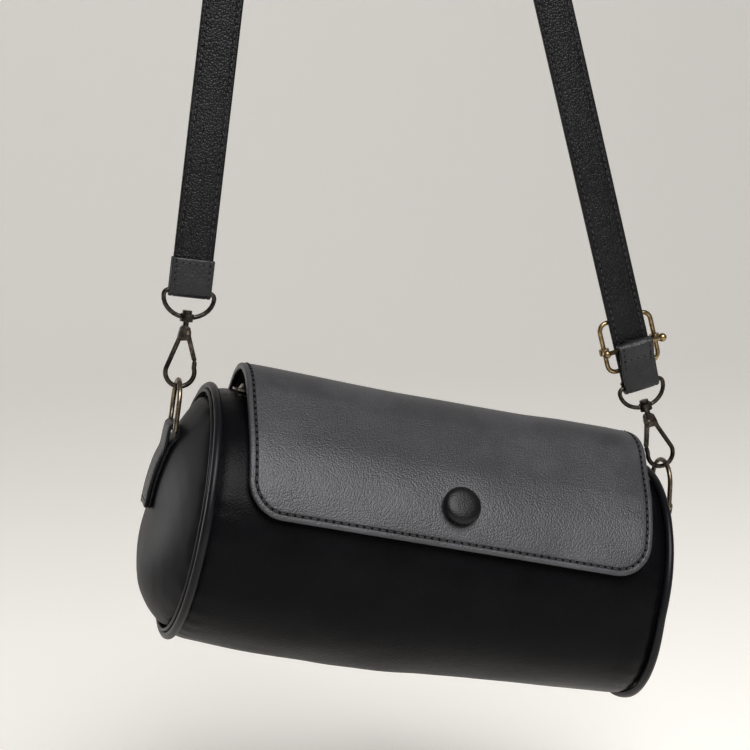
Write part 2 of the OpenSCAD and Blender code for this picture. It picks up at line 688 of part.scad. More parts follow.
module strap() {
    bend_steps = 12;
    plain_shares = [0, 0.3, twist_from_share];
    jog_share = jog_len / (leg_len[RIGHT] - leg_end);
    low_shares = concat([for (i = [0:4]) jog_share * i / 4], [0.3, twist_from_share]);
    twist_steps = 14;
    twist_shares = [for (i = [1:twist_steps])
        twist_from_share + (twist_to_share - twist_from_share) * i / twist_steps];
    up = [for (t = concat(plain_shares, twist_shares)) leg_place(LEFT, t)];
    over_top = [for (i = [0:bend_steps])
        let (a = 180 - leg_lean[LEFT] - (180 - 2 * half_angle) * i / bend_steps)
        [bend_mid + hang_r * [cos(a), sin(a)], 0, [sin(a), -cos(a)], 90]];
    down = [for (t = back_to_front(concat(low_shares, twist_shares))) leg_place(RIGHT, t)];
    places = concat(up, over_top, down);
    half_w = strap_w / 2;
    edge_in = 2;
    edge_t = strap_t * 0.34;
    face = [[-half_w, edge_t * 0.7], [-half_w + edge_in, strap_t / 2], [0, strap_t / 2],
        [half_w - edge_in, strap_t / 2], [half_w, edge_t * 0.7]];
    outline = concat([for (p = face) [p[0], -p[1]]], back_to_front(face));
    n = len(outline);
    rings = [for (p = places)
        let (way = [p[2][0], 0, p[2][1]], out = [-p[2][1], 0, p[2][0]],
             front = cos(p[3]) * [0, -1, 0] + sin(p[3]) * out,
             wide = cross(way, front),
             mid = [p[0][0], p[1], p[0][1]])
        [for (q = outline) mid + q[0] * wide + q[1] * front]];
    points = [for (ring = rings) each ring];
    last = len(places) - 1;
    walls = [for (i = [0:last - 1], k = [0:n - 1])
        let (m = (k + 1) % n)
        each [[i * n + k, (i + 1) * n + m, (i + 1) * n + k], [i * n + k, i * n + m, (i + 1) * n + m]]];
    color([0.05, 0.05, 0.055]) translate([bag_mid[0], 0, bag_mid[1]])
        polyhedron(points = points, faces = concat(walls, [[for (k = [n - 1:-1:0]) k]],
            [[for (k = [0:n - 1]) last * n + k]]), convexity = 6);
}

// Sewn tab at the fixed end: folded round the left eye's bar, with the strap between its plies
module strap_end_tab() {
    ply = tab_ply;
    hole = eye_wire + run_gap;
    in_y = strap_t / 2 + lay_gap;
    tab_half = end_tab_w / 2;
    out_y = in_y + ply;
    color([0.06, 0.06, 0.065]) leaning(eye_bar[LEFT], leg_lean[LEFT]) translate([-tab_half, 0, 0])
        rotate([90, 0, 90]) linear_extrude(height = 2 * tab_half) difference() {
            polygon(concat(arc([0, 0], hole + ply, 180, 360, 12), [[out_y, leg_start],
                [out_y, end_tab_len], [-out_y, end_tab_len], [-out_y, leg_start]]));
            circle(r = hole, $fn = small_fn);
            translate([-in_y, leg_start - lay_gap]) square([2 * in_y, end_tab_len]);
        }
}

// Slide: a wire frame behind the strap and a movable bar in front of it, joined by two posts
bar_back = strap_t / 2 + run_gap + fold_ply + run_gap + bar_r;
frame_back = strap_t / 2 + run_gap + slide_wire;
slide_low = bar_up - slide_len * 0.45;

module on_right_leg() {
    leaning(eye_bar[RIGHT], leg_lean[RIGHT]) children();
}

module slide_frame() {
    corner = 3.6;
    w = slide_half_w - corner;
    high = slide_low + slide_len - corner;
    low = slide_low + corner;
    path = concat(arc([w, high], corner, 0, 90, 5), arc([-w, high], corner, 90, 180, 5),
        arc([-w, low], corner, 180, 270, 5), arc([w, low], corner, 270, 360, 5));
    color([0.5, 0.38, 0.2]) on_right_leg() translate([0, frame_back, 0]) wire(path, slide_wire, true);
}

module slide_bar() {
    knob_r = 1.9;
    knob_out = 1.2;
    post_r = 1.1;
    collar_wall = 1.2;
    collar_out = slide_wire + collar_wall;
    collar_l = 2.6;
    color([0.45, 0.34, 0.18]) on_right_leg() translate([0, 0, bar_up]) difference() {
        union() {
            translate([-slide_half_w - knob_out, -bar_back, 0]) rotate([0, 90, 0])
                cylinder(r = bar_r, h = 2 * (slide_half_w + knob_out), $fn = small_fn);
            for (way = [-1, 1]) {
                translate([way * (slide_half_w + knob_out), -bar_back, 0]) sphere(r = knob_r, $fn = small_fn);
                translate([way * slide_half_w, frame_back, 0]) rotate([90, 0, 0])
                    cylinder(r = post_r, h = frame_back + bar_back, $fn = small_fn);
                translate([way * slide_half_w, frame_back, -collar_l / 2])
                    cylinder(r = collar_out, h = collar_l, $fn = small_fn);
            }
        }
        for (way = [-1, 1]) translate([way * slide_half_w, frame_back, -collar_l])
            cylinder(r = slide_wire + run_gap, h = 2 * collar_l, $fn = small_fn);
    }
}

// The strap's end runs round the eye's bar, up the front and round the movable bar
module strap_return() {
    ply = strap_t;
    hole = eye_wire + run_gap;
    bar_hole = bar_r + run_gap;
    fold_r = bar_hole + fold_ply;
    neck = fold_ply + lay_gap / 2;
    neck_z = bar_up - 2 * fold_r;
    wrap = 25;
    half = strap_w / 2 - run_gap;
    color([0.06, 0.06, 0.065]) on_right_leg() translate([-half, 0, 0]) rotate([90, 0, 90])
        linear_extrude(height = 2 * half) difference() {
            polygon(concat(
                [[hole, leg_end - lay_gap], [hole + ply, leg_end - lay_gap]],
                arc([0, 0], hole + ply, 0, -180, 12),
                [[-hole - ply, leg_end], [-bar_back - neck, neck_z]],
                arc([-bar_back, bar_up], fold_r, 180 + wrap, -wrap, 14),
                [[-bar_back + neck, neck_z], [-hole, leg_end]],
                arc([0, 0], hole, 180, 360, 12)));
            translate([-bar_back, bar_up]) circle(r = bar_hole, $fn = small_fn);
        }
}

barrel_skin();
barrel_board();
barrel_lining();
body_magnet();
flap_seam_strip();
end_panel(LEFT);  // left_end_panel
end_padding(LEFT);  // left_end_padding
end_board(LEFT);  // left_end_board
end_lining(LEFT);  // left_end_lining
piping(LEFT);  // left_piping
end_panel(RIGHT);  // right_end_panel
end_padding(RIGHT);  // right_end_padding
end_board(RIGHT);  // right_end_board
end_lining(RIGHT);  // right_end_lining
piping(RIGHT);  // right_piping
zip_tape(-1);  // zip_tape_front
zip_tape(1);  // zip_tape_back
zip_teeth(-1);  // zip_teeth_front
zip_teeth(1);  // zip_teeth_back
zip_stops();
zip_slider();
zip_pull();
flap_skin();
flap_board();
flap_lining();
flap_button();
flap_magnet();
ring_tab(LEFT);  // left_ring_tab
ring(LEFT);  // left_ring
hook_body(LEFT);  // left_hook_body
hook_gate(LEFT);  // left_hook_gate
gate_pin(LEFT);  // left_gate_pin
gate_spring(LEFT);  // left_gate_spring
strap_eye(LEFT);  // left_strap_eye
ring_tab(RIGHT);  // right_ring_tab
ring(RIGHT);  // right_ring
hook_body(RIGHT);  // right_hook_body
hook_gate(RIGHT);  // right_hook_gate
gate_pin(RIGHT);  // right_gate_pin
gate_spring(RIGHT);  // right_gate_spring
strap_eye(RIGHT);  // right_strap_eye
strap();
strap_end_tab();
strap_return();
slide_frame();
slide_bar();
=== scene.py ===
import json
from math import acos, asin, atan2, copysign, cos, degrees, exp, hypot, pi, radians, sin, sqrt

import bmesh
import bpy
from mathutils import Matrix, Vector, noise
from mathutils.bvhtree import BVHTree


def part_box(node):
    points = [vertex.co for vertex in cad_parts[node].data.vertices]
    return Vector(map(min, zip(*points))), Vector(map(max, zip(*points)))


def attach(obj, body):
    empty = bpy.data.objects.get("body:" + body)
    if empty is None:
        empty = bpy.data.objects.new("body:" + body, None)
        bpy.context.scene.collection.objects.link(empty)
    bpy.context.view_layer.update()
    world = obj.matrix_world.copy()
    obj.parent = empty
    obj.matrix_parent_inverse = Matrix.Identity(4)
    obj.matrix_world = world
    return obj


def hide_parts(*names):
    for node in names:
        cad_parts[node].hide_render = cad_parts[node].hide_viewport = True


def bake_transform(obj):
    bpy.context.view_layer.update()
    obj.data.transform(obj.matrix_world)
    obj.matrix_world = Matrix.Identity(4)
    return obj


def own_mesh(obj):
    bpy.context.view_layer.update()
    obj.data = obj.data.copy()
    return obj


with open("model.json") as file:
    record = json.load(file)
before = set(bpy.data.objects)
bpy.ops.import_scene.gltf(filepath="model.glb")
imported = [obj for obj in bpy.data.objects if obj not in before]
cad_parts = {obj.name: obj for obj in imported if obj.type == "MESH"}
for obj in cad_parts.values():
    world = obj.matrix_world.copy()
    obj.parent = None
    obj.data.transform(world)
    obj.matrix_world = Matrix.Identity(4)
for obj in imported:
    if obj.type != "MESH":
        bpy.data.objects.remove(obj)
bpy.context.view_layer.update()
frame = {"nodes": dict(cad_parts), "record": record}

# Camera and studio. The bag hangs from its strap over a pale floor that curves up into a plain
# backdrop. A large soft lamp stands high in front, and a weak one low behind the left side.
MM = 0.001
SIGN = {"left": -1, "right": 1}
LENS, SENSOR_W = 76.8, 36
CAMERA_FROM_BAG = Vector((-169.9, -645.7, 169.6))
GAZE_X, GAZE_Y, GAZE_DOWN = 0.2338, 0.9723, radians(8.11)
WORLD_COLOUR, WORLD_LIGHT = (0.93, 0.92, 0.9, 1), 0.16
FLOOR_COLOUR, FLOOR_GLOW = (0.83, 0.8, 0.76, 1), 0.38
FLOOR_Z, FLOOR_REACH, WALL_TOP = -0.70, 9.0, 4.0
CURVE_FROM, CURVE_R = 1.6, 0.9
record = frame["record"]
joints = {joint["name"]: joint for joint in record["behaviour"]["joints"]}
barrel_way = Vector(joints["zip_slide"]["axis"])
TILT = atan2(-barrel_way.z, barrel_way.x)
TILT_COS, TILT_SIN = cos(TILT), sin(TILT)
end_corners = [Vector(corner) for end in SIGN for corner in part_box(end + "_piping")]
BAG_MID = sum(end_corners, Vector()) / len(end_corners)


def placed(name, data):
    """Puts a new object in the scene."""
    piece = bpy.data.objects.new(name, data)
    bpy.context.collection.objects.link(piece)
    return piece


def link_mesh(name, points, faces=(), edges=()):
    """A smooth-shaded mesh object."""
    mesh = bpy.data.meshes.new(name)
    mesh.from_pydata([tuple(p) for p in points], edges, faces)
    mesh.update()
    mesh.shade_smooth()
    return placed(name, mesh)


def lamp(name, azimuth, height, far, size, power, spread=180):
    """A soft lamp aimed at the bag. Azimuth 0 is in front and 90 is at the right, in degrees."""
    light = placed(name, bpy.data.lights.new(name, "AREA"))
    light.data.shape = "RECTANGLE"
    light.data.size, light.data.size_y = size
    light.data.energy = power
    light.data.spread = radians(spread)
    a, e = radians(azimuth), radians(height)
    way = Vector((sin(a) * cos(e), -cos(a) * cos(e), sin(e)))
    light.location = BAG_MID + way * far
    light.rotation_euler = (-way).to_track_quat("-Z", "Y").to_euler()


def add(tree, kind, links=(), **settings):
    """Adds a node. Links are pairs of a socket's name or number and a source socket or a value."""
    node = tree.nodes.new(kind)
    for key, value in settings.items():
        setattr(node, key, value)
    for socket, source in links:
        if isinstance(source, bpy.types.NodeSocket):
            tree.links.new(source, node.inputs[socket])
        else:
            node.inputs[socket].default_value = source
    return node


def maths(tree, operation, a, b=0.0, c=0.0):
    links = [(slot, source) for slot, source in enumerate((a, b, c))]
    return add(tree, "ShaderNodeMath", links, operation=operation).outputs[0]


def material_with(name, constants):
    """A node material, its tree and its shader, with constants on the shader's own sockets."""
    material = bpy.data.materials.new(name)
    material.use_nodes = True
    tree = material.node_tree
    shader = tree.nodes["Principled BSDF"]
    for label, value in constants.items():
        shader.inputs[label].default_value = value
    return material, tree, shader


camera = placed("camera", bpy.data.cameras.new("camera"))
camera.data.lens = LENS
camera.data.sensor_width = SENSOR_W
camera.data.clip_end = 30
camera.location = BAG_MID + CAMERA_FROM_BAG * MM
level = cos(GAZE_DOWN)
gaze = Vector((GAZE_X * level, GAZE_Y * level, -sin(GAZE_DOWN)))
camera.rotation_euler = gaze.to_track_quat("-Z", "Y").to_euler()
bpy.context.scene.camera = camera
bpy.context.scene.view_settings.view_transform = "Standard"
lamp("key_lamp", 6, 46, 1.4, (0.9, 0.8), 28)
lamp("side_lamp", -130, 5, 1.5, (0.5, 0.4), 0.6, spread=70)

world = bpy.data.worlds.new("studio")
bpy.context.scene.world = world
world.use_nodes = True
background = world.node_tree.nodes["Background"].inputs
background["Color"].default_value = WORLD_COLOUR
background["Strength"].default_value = WORLD_LIGHT

sweep = [(-FLOOR_REACH, FLOOR_Z)]
for step in range(0, 91, 6):
    a = radians(step)
    sweep.append((CURVE_FROM + CURVE_R * sin(a), FLOOR_Z + CURVE_R - CURVE_R * cos(a)))
sweep.append((CURVE_FROM + CURVE_R, WALL_TOP))
floor = link_mesh("floor", [(x, y, z) for y, z in sweep for x in (-FLOOR_REACH, FLOOR_REACH)],
                  [(n, n + 1, n + 3, n + 2) for n in range(0, 2 * len(sweep) - 2, 2)])
floor_paint, tree, shader = material_with(
    "pale_floor", {"Base Color": FLOOR_COLOUR, "Roughness": 0.6, "Emission Color": FLOOR_COLOUR})
rays = add(tree, "ShaderNodeLightPath").outputs
shown = maths(tree, "MAXIMUM", rays["Is Camera Ray"], rays["Is Glossy Ray"])
shown = maths(tree, "MAXIMUM", shown, rays["Is Transmission Ray"])
tree.links.new(maths(tree, "MULTIPLY", shown, FLOOR_GLOW), shader.inputs["Emission Strength"])
floor.data.materials.append(floor_paint)

# Barrel. Black pebbled leather sewn into a drum over a thin board. It is soft: it sags a little
# between its ends, rolls in at the end seams, and its mouth runs along the top beside the zip.
BARREL_R = 53.0
HALF_LEN = 94.3
MOUTH_HALF_LEN = 88.0
MOUTH_HALF_W = 6.0
SKIN_T = 1.2
SEAM_ROLL = 1.5
BARREL_STEPS = 150


def smooth_step(t):
    t = max(0.0, min(1.0, t))
    return t * t * (3 - 2 * t)


def settled(x, y, z):
    """The soft drum's own shape: flatter below towards the right end, which leans outwards."""
    low = max(0.0, -z / 50)
    z += low ** 1.5 * (3.4 * smooth_step((x + 45) / 130) + 1.6 * smooth_step((-x - 55) / 40)
                       + 1.0 * smooth_step((x - 60) / 34))
    x += 8.0 * smooth_step((x - 25) / 65) * low ** 1.3
    return x, y, z


def in_bag(x, y, z):
    """From a place round the barrel's own axis, in mm, to the row's frame."""
    x, y, z = settled(x, y, z)
    return BAG_MID + Vector((x * TILT_COS + z * TILT_SIN, y, z * TILT_COS - x * TILT_SIN)) * MM


def on_barrel(x, r, turn):
    """A place on the barrel, turned from its top towards the back, in degrees."""
    a = radians(turn)
    return in_bag(x, r * sin(a), r * cos(a))


def strips(rows, across, start=0, closed=False, looped=False):
    """Faces between rows of points. Closed joins a row's ends, looped the last row to the first."""
    faces = []
    for i in range(rows if looped else rows - 1):
        here, there = start + i * across, start + (i + 1) % rows * across
        for k in range(across if closed else across - 1):
            m = (k + 1) % across
            faces.append((here + k, there + k, there + m, here + m))
    return faces


def outward(piece, filled=False):
    """Merges doubles, fills what is open if that is asked for, and points every face outwards."""
    form = bmesh.new()
    form.from_mesh(piece.data)
    bmesh.ops.remove_doubles(form, verts=form.verts, dist=1e-6)
    if filled:
        rim = [edge for edge in form.edges if edge.is_boundary]
        bmesh.ops.holes_fill(form, edges=rim, sides=0)
    bmesh.ops.recalc_face_normals(form, faces=form.faces)
    form.to_mesh(piece.data)
    form.free()
    return piece


def baked(piece):
    """Replaces a piece's live modifiers by the mesh that they make."""
    graph = bpy.context.evaluated_depsgraph_get()
    done = bpy.data.meshes.new_from_object(piece.evaluated_get(graph))
    piece.modifiers.clear()
    old = piece.data
    piece.data = done
    bpy.data.meshes.remove(old)
    done.name = piece.name
    return piece


def wall(piece, thickness):
    """Gives a sheet its thickness, towards its inner side."""
    solid = piece.modifiers.new("wall", "SOLIDIFY")
    solid.thickness = thickness * MM
    solid.offset = -1
    solid.use_even_offset = True
    return baked(piece)


def ripple(place, size, amount, shift=0.0):
    """A soft unevenness that is the same on every run."""
    return amount * noise.noise(Vector(place) / size + Vector((shift, shift * 0.7, 3.1)))


def made(piece, material, body, slot, *nodes):
    """Finishes a piece: its material, its body and the nodes that it stands for. Its slot is not
    used.
    """
    if material:
        piece.data.materials.clear()
        piece.data.materials.append(material)
    if body:
        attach(piece, body)
    if nodes:
        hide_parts(*nodes)
    return piece


def node_group(name, inputs, outputs):
    """A shader group, with the sockets of what it is given and of what it gives."""
    group = bpy.data.node_groups.new(name, "ShaderNodeTree")
    for label, kind, value in inputs:
        socket = group.interface.new_socket(label, in_out="INPUT", socket_type="NodeSocket" + kind)
        socket.default_value = value
    for label, kind in outputs:
        group.interface.new_socket(label, in_out="OUTPUT", socket_type="NodeSocket" + kind)
    given, gives = group.nodes.new("NodeGroupInput"), group.nodes.new("NodeGroupOutput")
    return group, given.outputs, gives.inputs


def spread(tree, value, low, high, to_low=0.0, to_high=1.0):
    """Maps a value's range to another, held at its ends."""
    return add(tree, "ShaderNodeMapRange", [
        ("Value", value), ("From Min", low), ("From Max", high), ("To Min", to_low),
        ("To Max", to_high)]).outputs[0]


def mixed(tree, share, first, second):
    """A colour between two colours."""
    links = [(0, share), (6, first), (7, second)]
    return add(tree, "ShaderNodeMix", links, data_type="RGBA").outputs[2]


def object_place(tree):
    return add(tree, "ShaderNodeTexCoord").outputs["Object"]


def clouds(tree, place, scale, detail, rough=0.5):
    """The outputs of a noise texture."""
    links = [("Vector", place), ("Scale", scale), ("Detail", detail), ("Roughness", rough)]
    return add(tree, "ShaderNodeTexNoise", links).outputs


def give(tree, gives, **sources):
    """Leads a group's results to its outputs."""
    for label, source in sources.items():
        tree.links.new(source, gives[label])


def group_in(tree, group, values):
    """Places a group in a material with its own values, and returns its outputs."""
    node = add(tree, "ShaderNodeGroup", node_tree=bpy.data.node_groups[group])
    for label, value in values.items():
        node.inputs[label].default_value = value
    return node.outputs


def feed(tree, shader, colour, height, roughness=None):
    """Leads a surface's colour, bump and roughness to its shader."""
    bump = add(tree, "ShaderNodeBump", [("Height", height), ("Strength", 1.0), ("Distance", MM)])
    tree.links.new(colour, shader.inputs["Base Color"])
    tree.links.new(bump.outputs[0], shader.inputs["Normal"])
    if roughness is not None:
        tree.links.new(roughness, shader.inputs["Roughness"])


def surface(name, group, values, constants):
    """A material that one group colours and shapes."""
    material, tree, shader = material_with(name, constants)
    found = group_in(tree, group, values)
    feed(tree, shader, found["Colour"], found["Height"], found.get("Roughness"))
    return material


# Pebbled grain: small rounded cells with creases between them, broken up by soft wrinkles and
# by patches that handling has polished. Heights are in millimetres.
tree, given, gives = node_group(
    "pebble_grain",
    [("Colour", "Color", (0.02, 0.02, 0.022, 1)), ("Worn colour", "Color", (0.05, 0.05, 0.055, 1)),
     ("Cells per metre", "Float", 1100.0), ("Depth", "Float", 0.1), ("Roughness", "Float", 0.42),
     ("Wrinkles", "Float", 0.1)],
    [("Colour", "Color"), ("Roughness", "Float"), ("Height", "Float")])
place = object_place(tree)
warp = clouds(tree, place, 260.0, 2.0)["Color"]
bent = add(tree, "ShaderNodeVectorMath", [(0, warp), (1, (0.0004, 0.0004, 0.0004)), (2, place)],
           operation="MULTIPLY_ADD").outputs[0]
cells = add(tree, "ShaderNodeTexVoronoi",
            [("Vector", bent), ("Scale", given["Cells per metre"])], feature="F1")
fine = clouds(tree, place, 3400.0, 2.0)["Fac"]
broad = clouds(tree, place, 38.0, 4.0, 0.62)["Fac"]
crease = clouds(tree, bent, 150.0, 3.0)["Fac"]
pebble = maths(tree, "SUBTRACT", 0.75, cells.outputs["Distance"])
pebble = maths(tree, "MULTIPLY_ADD", fine, 0.22, pebble)
fold = maths(tree, "MULTIPLY", crease, given["Wrinkles"])
height = maths(tree, "MULTIPLY_ADD", pebble, given["Depth"], fold)
worn = spread(tree, broad, 0.42, 0.7)
top = spread(tree, pebble, 0.3, 0.8)
share = maths(tree, "MULTIPLY", worn, maths(tree, "MULTIPLY_ADD", top, 0.6, 0.4))
tone = mixed(tree, share, given["Colour"], given["Worn colour"])
matt = maths(tree, "MULTIPLY_ADD", broad, 0.1, given["Roughness"])
matt = maths(tree, "MULTIPLY_ADD", top, -0.06, matt)
give(tree, gives, Colour=tone, Roughness=matt, Height=height)

# Sewn edge: the groove that a row of stitches pulls into leather, at its distance from the edge,
# and the painted shade that darkens that groove. The piece's attribute edge_mm holds that distance.
tree, given, gives = node_group(
    "sewn_edge",
    [("Row from edge", "Float", 2.6), ("Groove width", "Float", 0.7), ("Depth", "Float", 0.0)],
    [("Shade", "Float"), ("Height", "Float")])
edge = add(tree, "ShaderNodeAttribute", attribute_name="edge_mm").outputs["Fac"]
from_row = maths(tree, "ABSOLUTE", maths(tree, "SUBTRACT", edge, given["Row from edge"]))
near_row = maths(tree, "DIVIDE", from_row, given["Groove width"])
groove = spread(tree, near_row, 0.25, 1.0, 1.0, 0.0)
dip = maths(tree, "MULTIPLY", groove, given["Depth"])
# The groove's dip also gives its painted shade.
give(tree, gives, Shade=maths(tree, "MULTIPLY", dip, 2.2), Height=maths(tree, "MULTIPLY", dip, -1.0))


def leather(name, colour, worn_colour, rough, specular, depth, wrinkles, cells_per_m=1500, sewn=0.0):
    """Leather with a pebbled grain; sewn is the depth of the stitched groove at its edge, in mm,
    which also sets how dark the groove's painted shade is.
    """
    material, tree, shader = material_with(name, {"Specular IOR Level": specular})
    grain = group_in(tree, "pebble_grain", {
        "Colour": (*colour, 1), "Worn colour": (*worn_colour, 1), "Cells per metre": cells_per_m,
        "Depth": depth, "Roughness": rough, "Wrinkles": wrinkles})
    row = group_in(tree, "sewn_edge", {"Depth": sewn})
    # The stitched groove is darkened towards near black: painted shade.
    tone = mixed(tree, row["Shade"], grain["Colour"], (0.002, 0.002, 0.002, 1))
    feed(tree, shader, tone, maths(tree, "ADD", grain["Height"], row["Height"]), grain["Roughness"])
    return material


body_leather = leather("body_leather", (0.0018, 0.0018, 0.0022), (0.004, 0.004, 0.005), 0.3, 0.05,
                       depth=0.08, wrinkles=0.14)


def barrel_radius(x, turn):
    """Soft drum: rolled in at the seams, fuller low down, a little dented where it is handled."""
    to_seam = HALF_LEN - abs(x)
    if to_seam < 0:
        return BARREL_R - SEAM_ROLL + to_seam * 0.3
    low = max(0.0, -cos(radians(turn)))
    r = BARREL_R - SEAM_ROLL * exp(-to_seam / 2.4)
    r += 0.6 * low * cos(pi * x / (2 * HALF_LEN))
    fade = min(1.0, to_seam / 12)
    a = radians(turn)
    spot = (x, BARREL_R * sin(a), BARREL_R * cos(a))
    shown = 0.25 if turn < 110 or turn > 290 else 1.0
    r += fade * shown * (ripple(spot, 46, 0.9) + ripple(spot, 17, 0.28, 5.0))
    r += exp(-to_seam / 5.0) * 0.2 * sin(a * 34 + 1.7 * sin(a * 5)) * shown
    return r


mouth_edge = degrees(asin(MOUTH_HALF_W / BARREL_R))
turns = [mouth_edge + (360 - 2 * mouth_edge) * i / BARREL_STEPS for i in range(BARREL_STEPS + 1)]
seam = [HALF_LEN + 1.5, HALF_LEN + 0.7, HALF_LEN, 93.6, 92.6, 91.2, 89.8, MOUTH_HALF_LEN]
stations = [-x for x in seam] + [-86 + 172 * i / 70 for i in range(71)] + seam[::-1]
barrel_points = [on_barrel(x, barrel_radius(x, turn), turn) for x in stations for turn in turns]
across = len(turns)
barrel_faces = strips(len(stations), across)
for i, (x, after) in enumerate(zip(stations[:-1], stations[1:])):
    if min(abs(x), abs(after)) >= MOUTH_HALF_LEN:
        n = i * across
        barrel_faces.append((n + across - 1, n + 2 * across - 1, n + across, n))
barrel = wall(outward(link_mesh("barrel_shell", barrel_points, barrel_faces)), SKIN_T)
made(barrel, body_leather, "bag", "outer_leather", "barrel_skin")

# Stitches. Waxed black thread sunk in a row of punched holes. A row is a line along the leather,
# and the tree sets a stitch and a hole, a near-black bead of painted shade, at every pitch.
def paint(name, colour, rough, metallic=0.0, specular=0.5):
    """A plain matt or metal colour, broken up by fine noise."""
    constants = {"Metallic": metallic, "Specular IOR Level": specular}
    material, tree, shader = material_with(name, constants)
    grain = clouds(tree, object_place(tree), 900.0, 3.0)["Fac"]
    dark, light = (tuple(min(1.0, c * part) for c in colour) + (1,) for part in (0.7, 1.3))
    tree.links.new(mixed(tree, grain, dark, light), shader.inputs["Base Color"])
    matt = spread(tree, grain, 0.3, 0.7, rough - 0.07, rough + 0.07)
    tree.links.new(matt, shader.inputs["Roughness"])
    return material


def geo(tree, kind, links=(), **settings):
    """Adds a geometry node and returns its first output."""
    return add(tree, "GeometryNode" + kind, links, **settings).outputs[0]


def row_tree(name, inputs, share=1.0):
    """A tree that finds places along rows of points, a share of the pitch apart. It comes with what
    it is given, the places and the turn of each."""
    tree = bpy.data.node_groups.new(name, "GeometryNodeTree")
    tree.is_modifier = True
    for label, kind in [("Rows", "Geometry"), ("Pitch", "Float")] + inputs:
        tree.interface.new_socket(label, in_out="INPUT", socket_type="NodeSocket" + kind)
    tree.interface.new_socket("Copies", in_out="OUTPUT", socket_type="NodeSocketGeometry")
    given = tree.nodes.new("NodeGroupInput").outputs
    curve = geo(tree, "MeshToCurve", [("Mesh", given["Rows"])])
    apart = maths(tree, "MULTIPLY", given["Pitch"], share)
    places = geo(tree, "ResampleCurve", [("Curve", curve), ("Length", apart)], mode="LENGTH")
    tangent = geo(tree, "InputTangent")
    turn = add(tree, "FunctionNodeAlignRotationToVector", [("Vector", tangent)], axis="X").outputs[0]
    return tree, given, places, turn


def copied(tree, places, turn, shape, material, chosen=True):
    """Real copies of a shape at chosen places, with their material."""
    copies = geo(tree, "InstanceOnPoints", [("Points", places), ("Selection", chosen),
                                            ("Instance", shape), ("Rotation", turn)])
    real = geo(tree, "RealizeInstances", [("Geometry", copies)])
    return geo(tree, "SetMaterial", [("Geometry", real), ("Material", material)])


def grown(name, rows, tree, settings):
    """The piece that a tree makes from rows of points, in the frame."""
    points, edges = [], []
    for row in rows:
        n = len(points)
        edges += [(n + i, n + i + 1) for i in range(len(row) - 1)]
        points += row
    piece = link_mesh(name, points, edges=edges)
    growth = piece.modifiers.new("growth", "NODES")
    growth.node_group = bpy.data.node_groups[tree]
    for item in growth.node_group.interface.items_tree:
        if item.name in settings:
            growth[item.identifier] = settings[item.name]
    return baked(piece)


thread = paint("black_thread", (0.012, 0.012, 0.013), 0.6)
# The holes are near-black beads: painted shade for the shade inside each punched hole.
hole_shade_paint = paint("painted_hole_shade", (0.001, 0.001, 0.001), 0.9, specular=0.1)
tree, given, places, turn = row_tree(
    "stitch_row", [("Length", "Float"), ("Thickness", "Float"), ("Hole", "Float"),
                   ("Thread", "Material"), ("Dark", "Material")], share=0.5)
odd = maths(tree, "MODULO", geo(tree, "InputIndex"), 2.0)
even = maths(tree, "SUBTRACT", 1.0, odd)
both = tree.nodes.new("GeometryNodeJoinGeometry")
# Odd places take a thread bead, even places a near-black hole bead of painted shade.
for chosen, long, thick, material in ((odd, "Length", "Thickness", "Thread"),
                                      (even, "Hole", "Hole", "Dark")):
    bead = geo(tree, "MeshUVSphere", [("Segments", 8), ("Rings", 5), ("Radius", 0.5)])
    size = add(tree, "ShaderNodeCombineXYZ",
               [("X", given[long]), ("Y", given[thick]), ("Z", given[thick])]).outputs[0]
    shaped = geo(tree, "Transform", [("Geometry", bead), ("Scale", size)])
    smooth = geo(tree, "SetShadeSmooth", [("Geometry", shaped)])
    sewn = copied(tree, places, turn, smooth, given[material], chosen)
    tree.links.new(sewn, both.inputs[0])
tree.links.new(both.outputs[0], tree.nodes.new("NodeGroupOutput").inputs[0])


def stitches(name, rows, body, slot, pitch=3.1, long=2.1, thick=0.55, hole=0.9):
    """Sews rows of points, in the frame, on to a piece of one body. Sizes are in mm."""
    settings = {"Pitch": pitch * MM, "Length": long * MM, "Thickness": thick * MM, "Hole": hole * MM,
                "Thread": thread, "Dark": hole_shade_paint}
    return made(grown(name, rows, "stitch_row", settings), None, body, slot)


mouth_rows = [[on_barrel(-MOUTH_HALF_LEN + 2 * MOUTH_HALF_LEN * i / 60, BARREL_R + 0.05, side * 9.6)
               for i in range(61)] for side in (-1, 1)]
stitches("mouth_stitches", mouth_rows, "bag", "outer_leather", pitch=2.8, long=1.9, hole=0.7)

# Round ends. A panel of smoother leather sewn over padding, so that it stands out as a firm
# cushion and puckers a little where the seam draws it in.
DOME_X = 98.13
DOME_R = 49.8
DOME_H = 14.0
DOME_BACK_X = 95.0
SWELL_STEPS = 20
end_leather = leather("end_leather", (0.005, 0.005, 0.0062), (0.009, 0.009, 0.011), 0.44, 0.1,
                      depth=0.04, wrinkles=0.05)


def dome_swell(r, low):
    """How far the padded end stands out at a radius; low is 1 at its lowest side, -1 at its top."""
    share, low = min(1.0, r / DOME_R), smooth_step(low)
    return DOME_H * (1 - share ** (2.35 + 0.7 * low)) + 11.5 * low * share ** 2 * (1 - share ** 2)


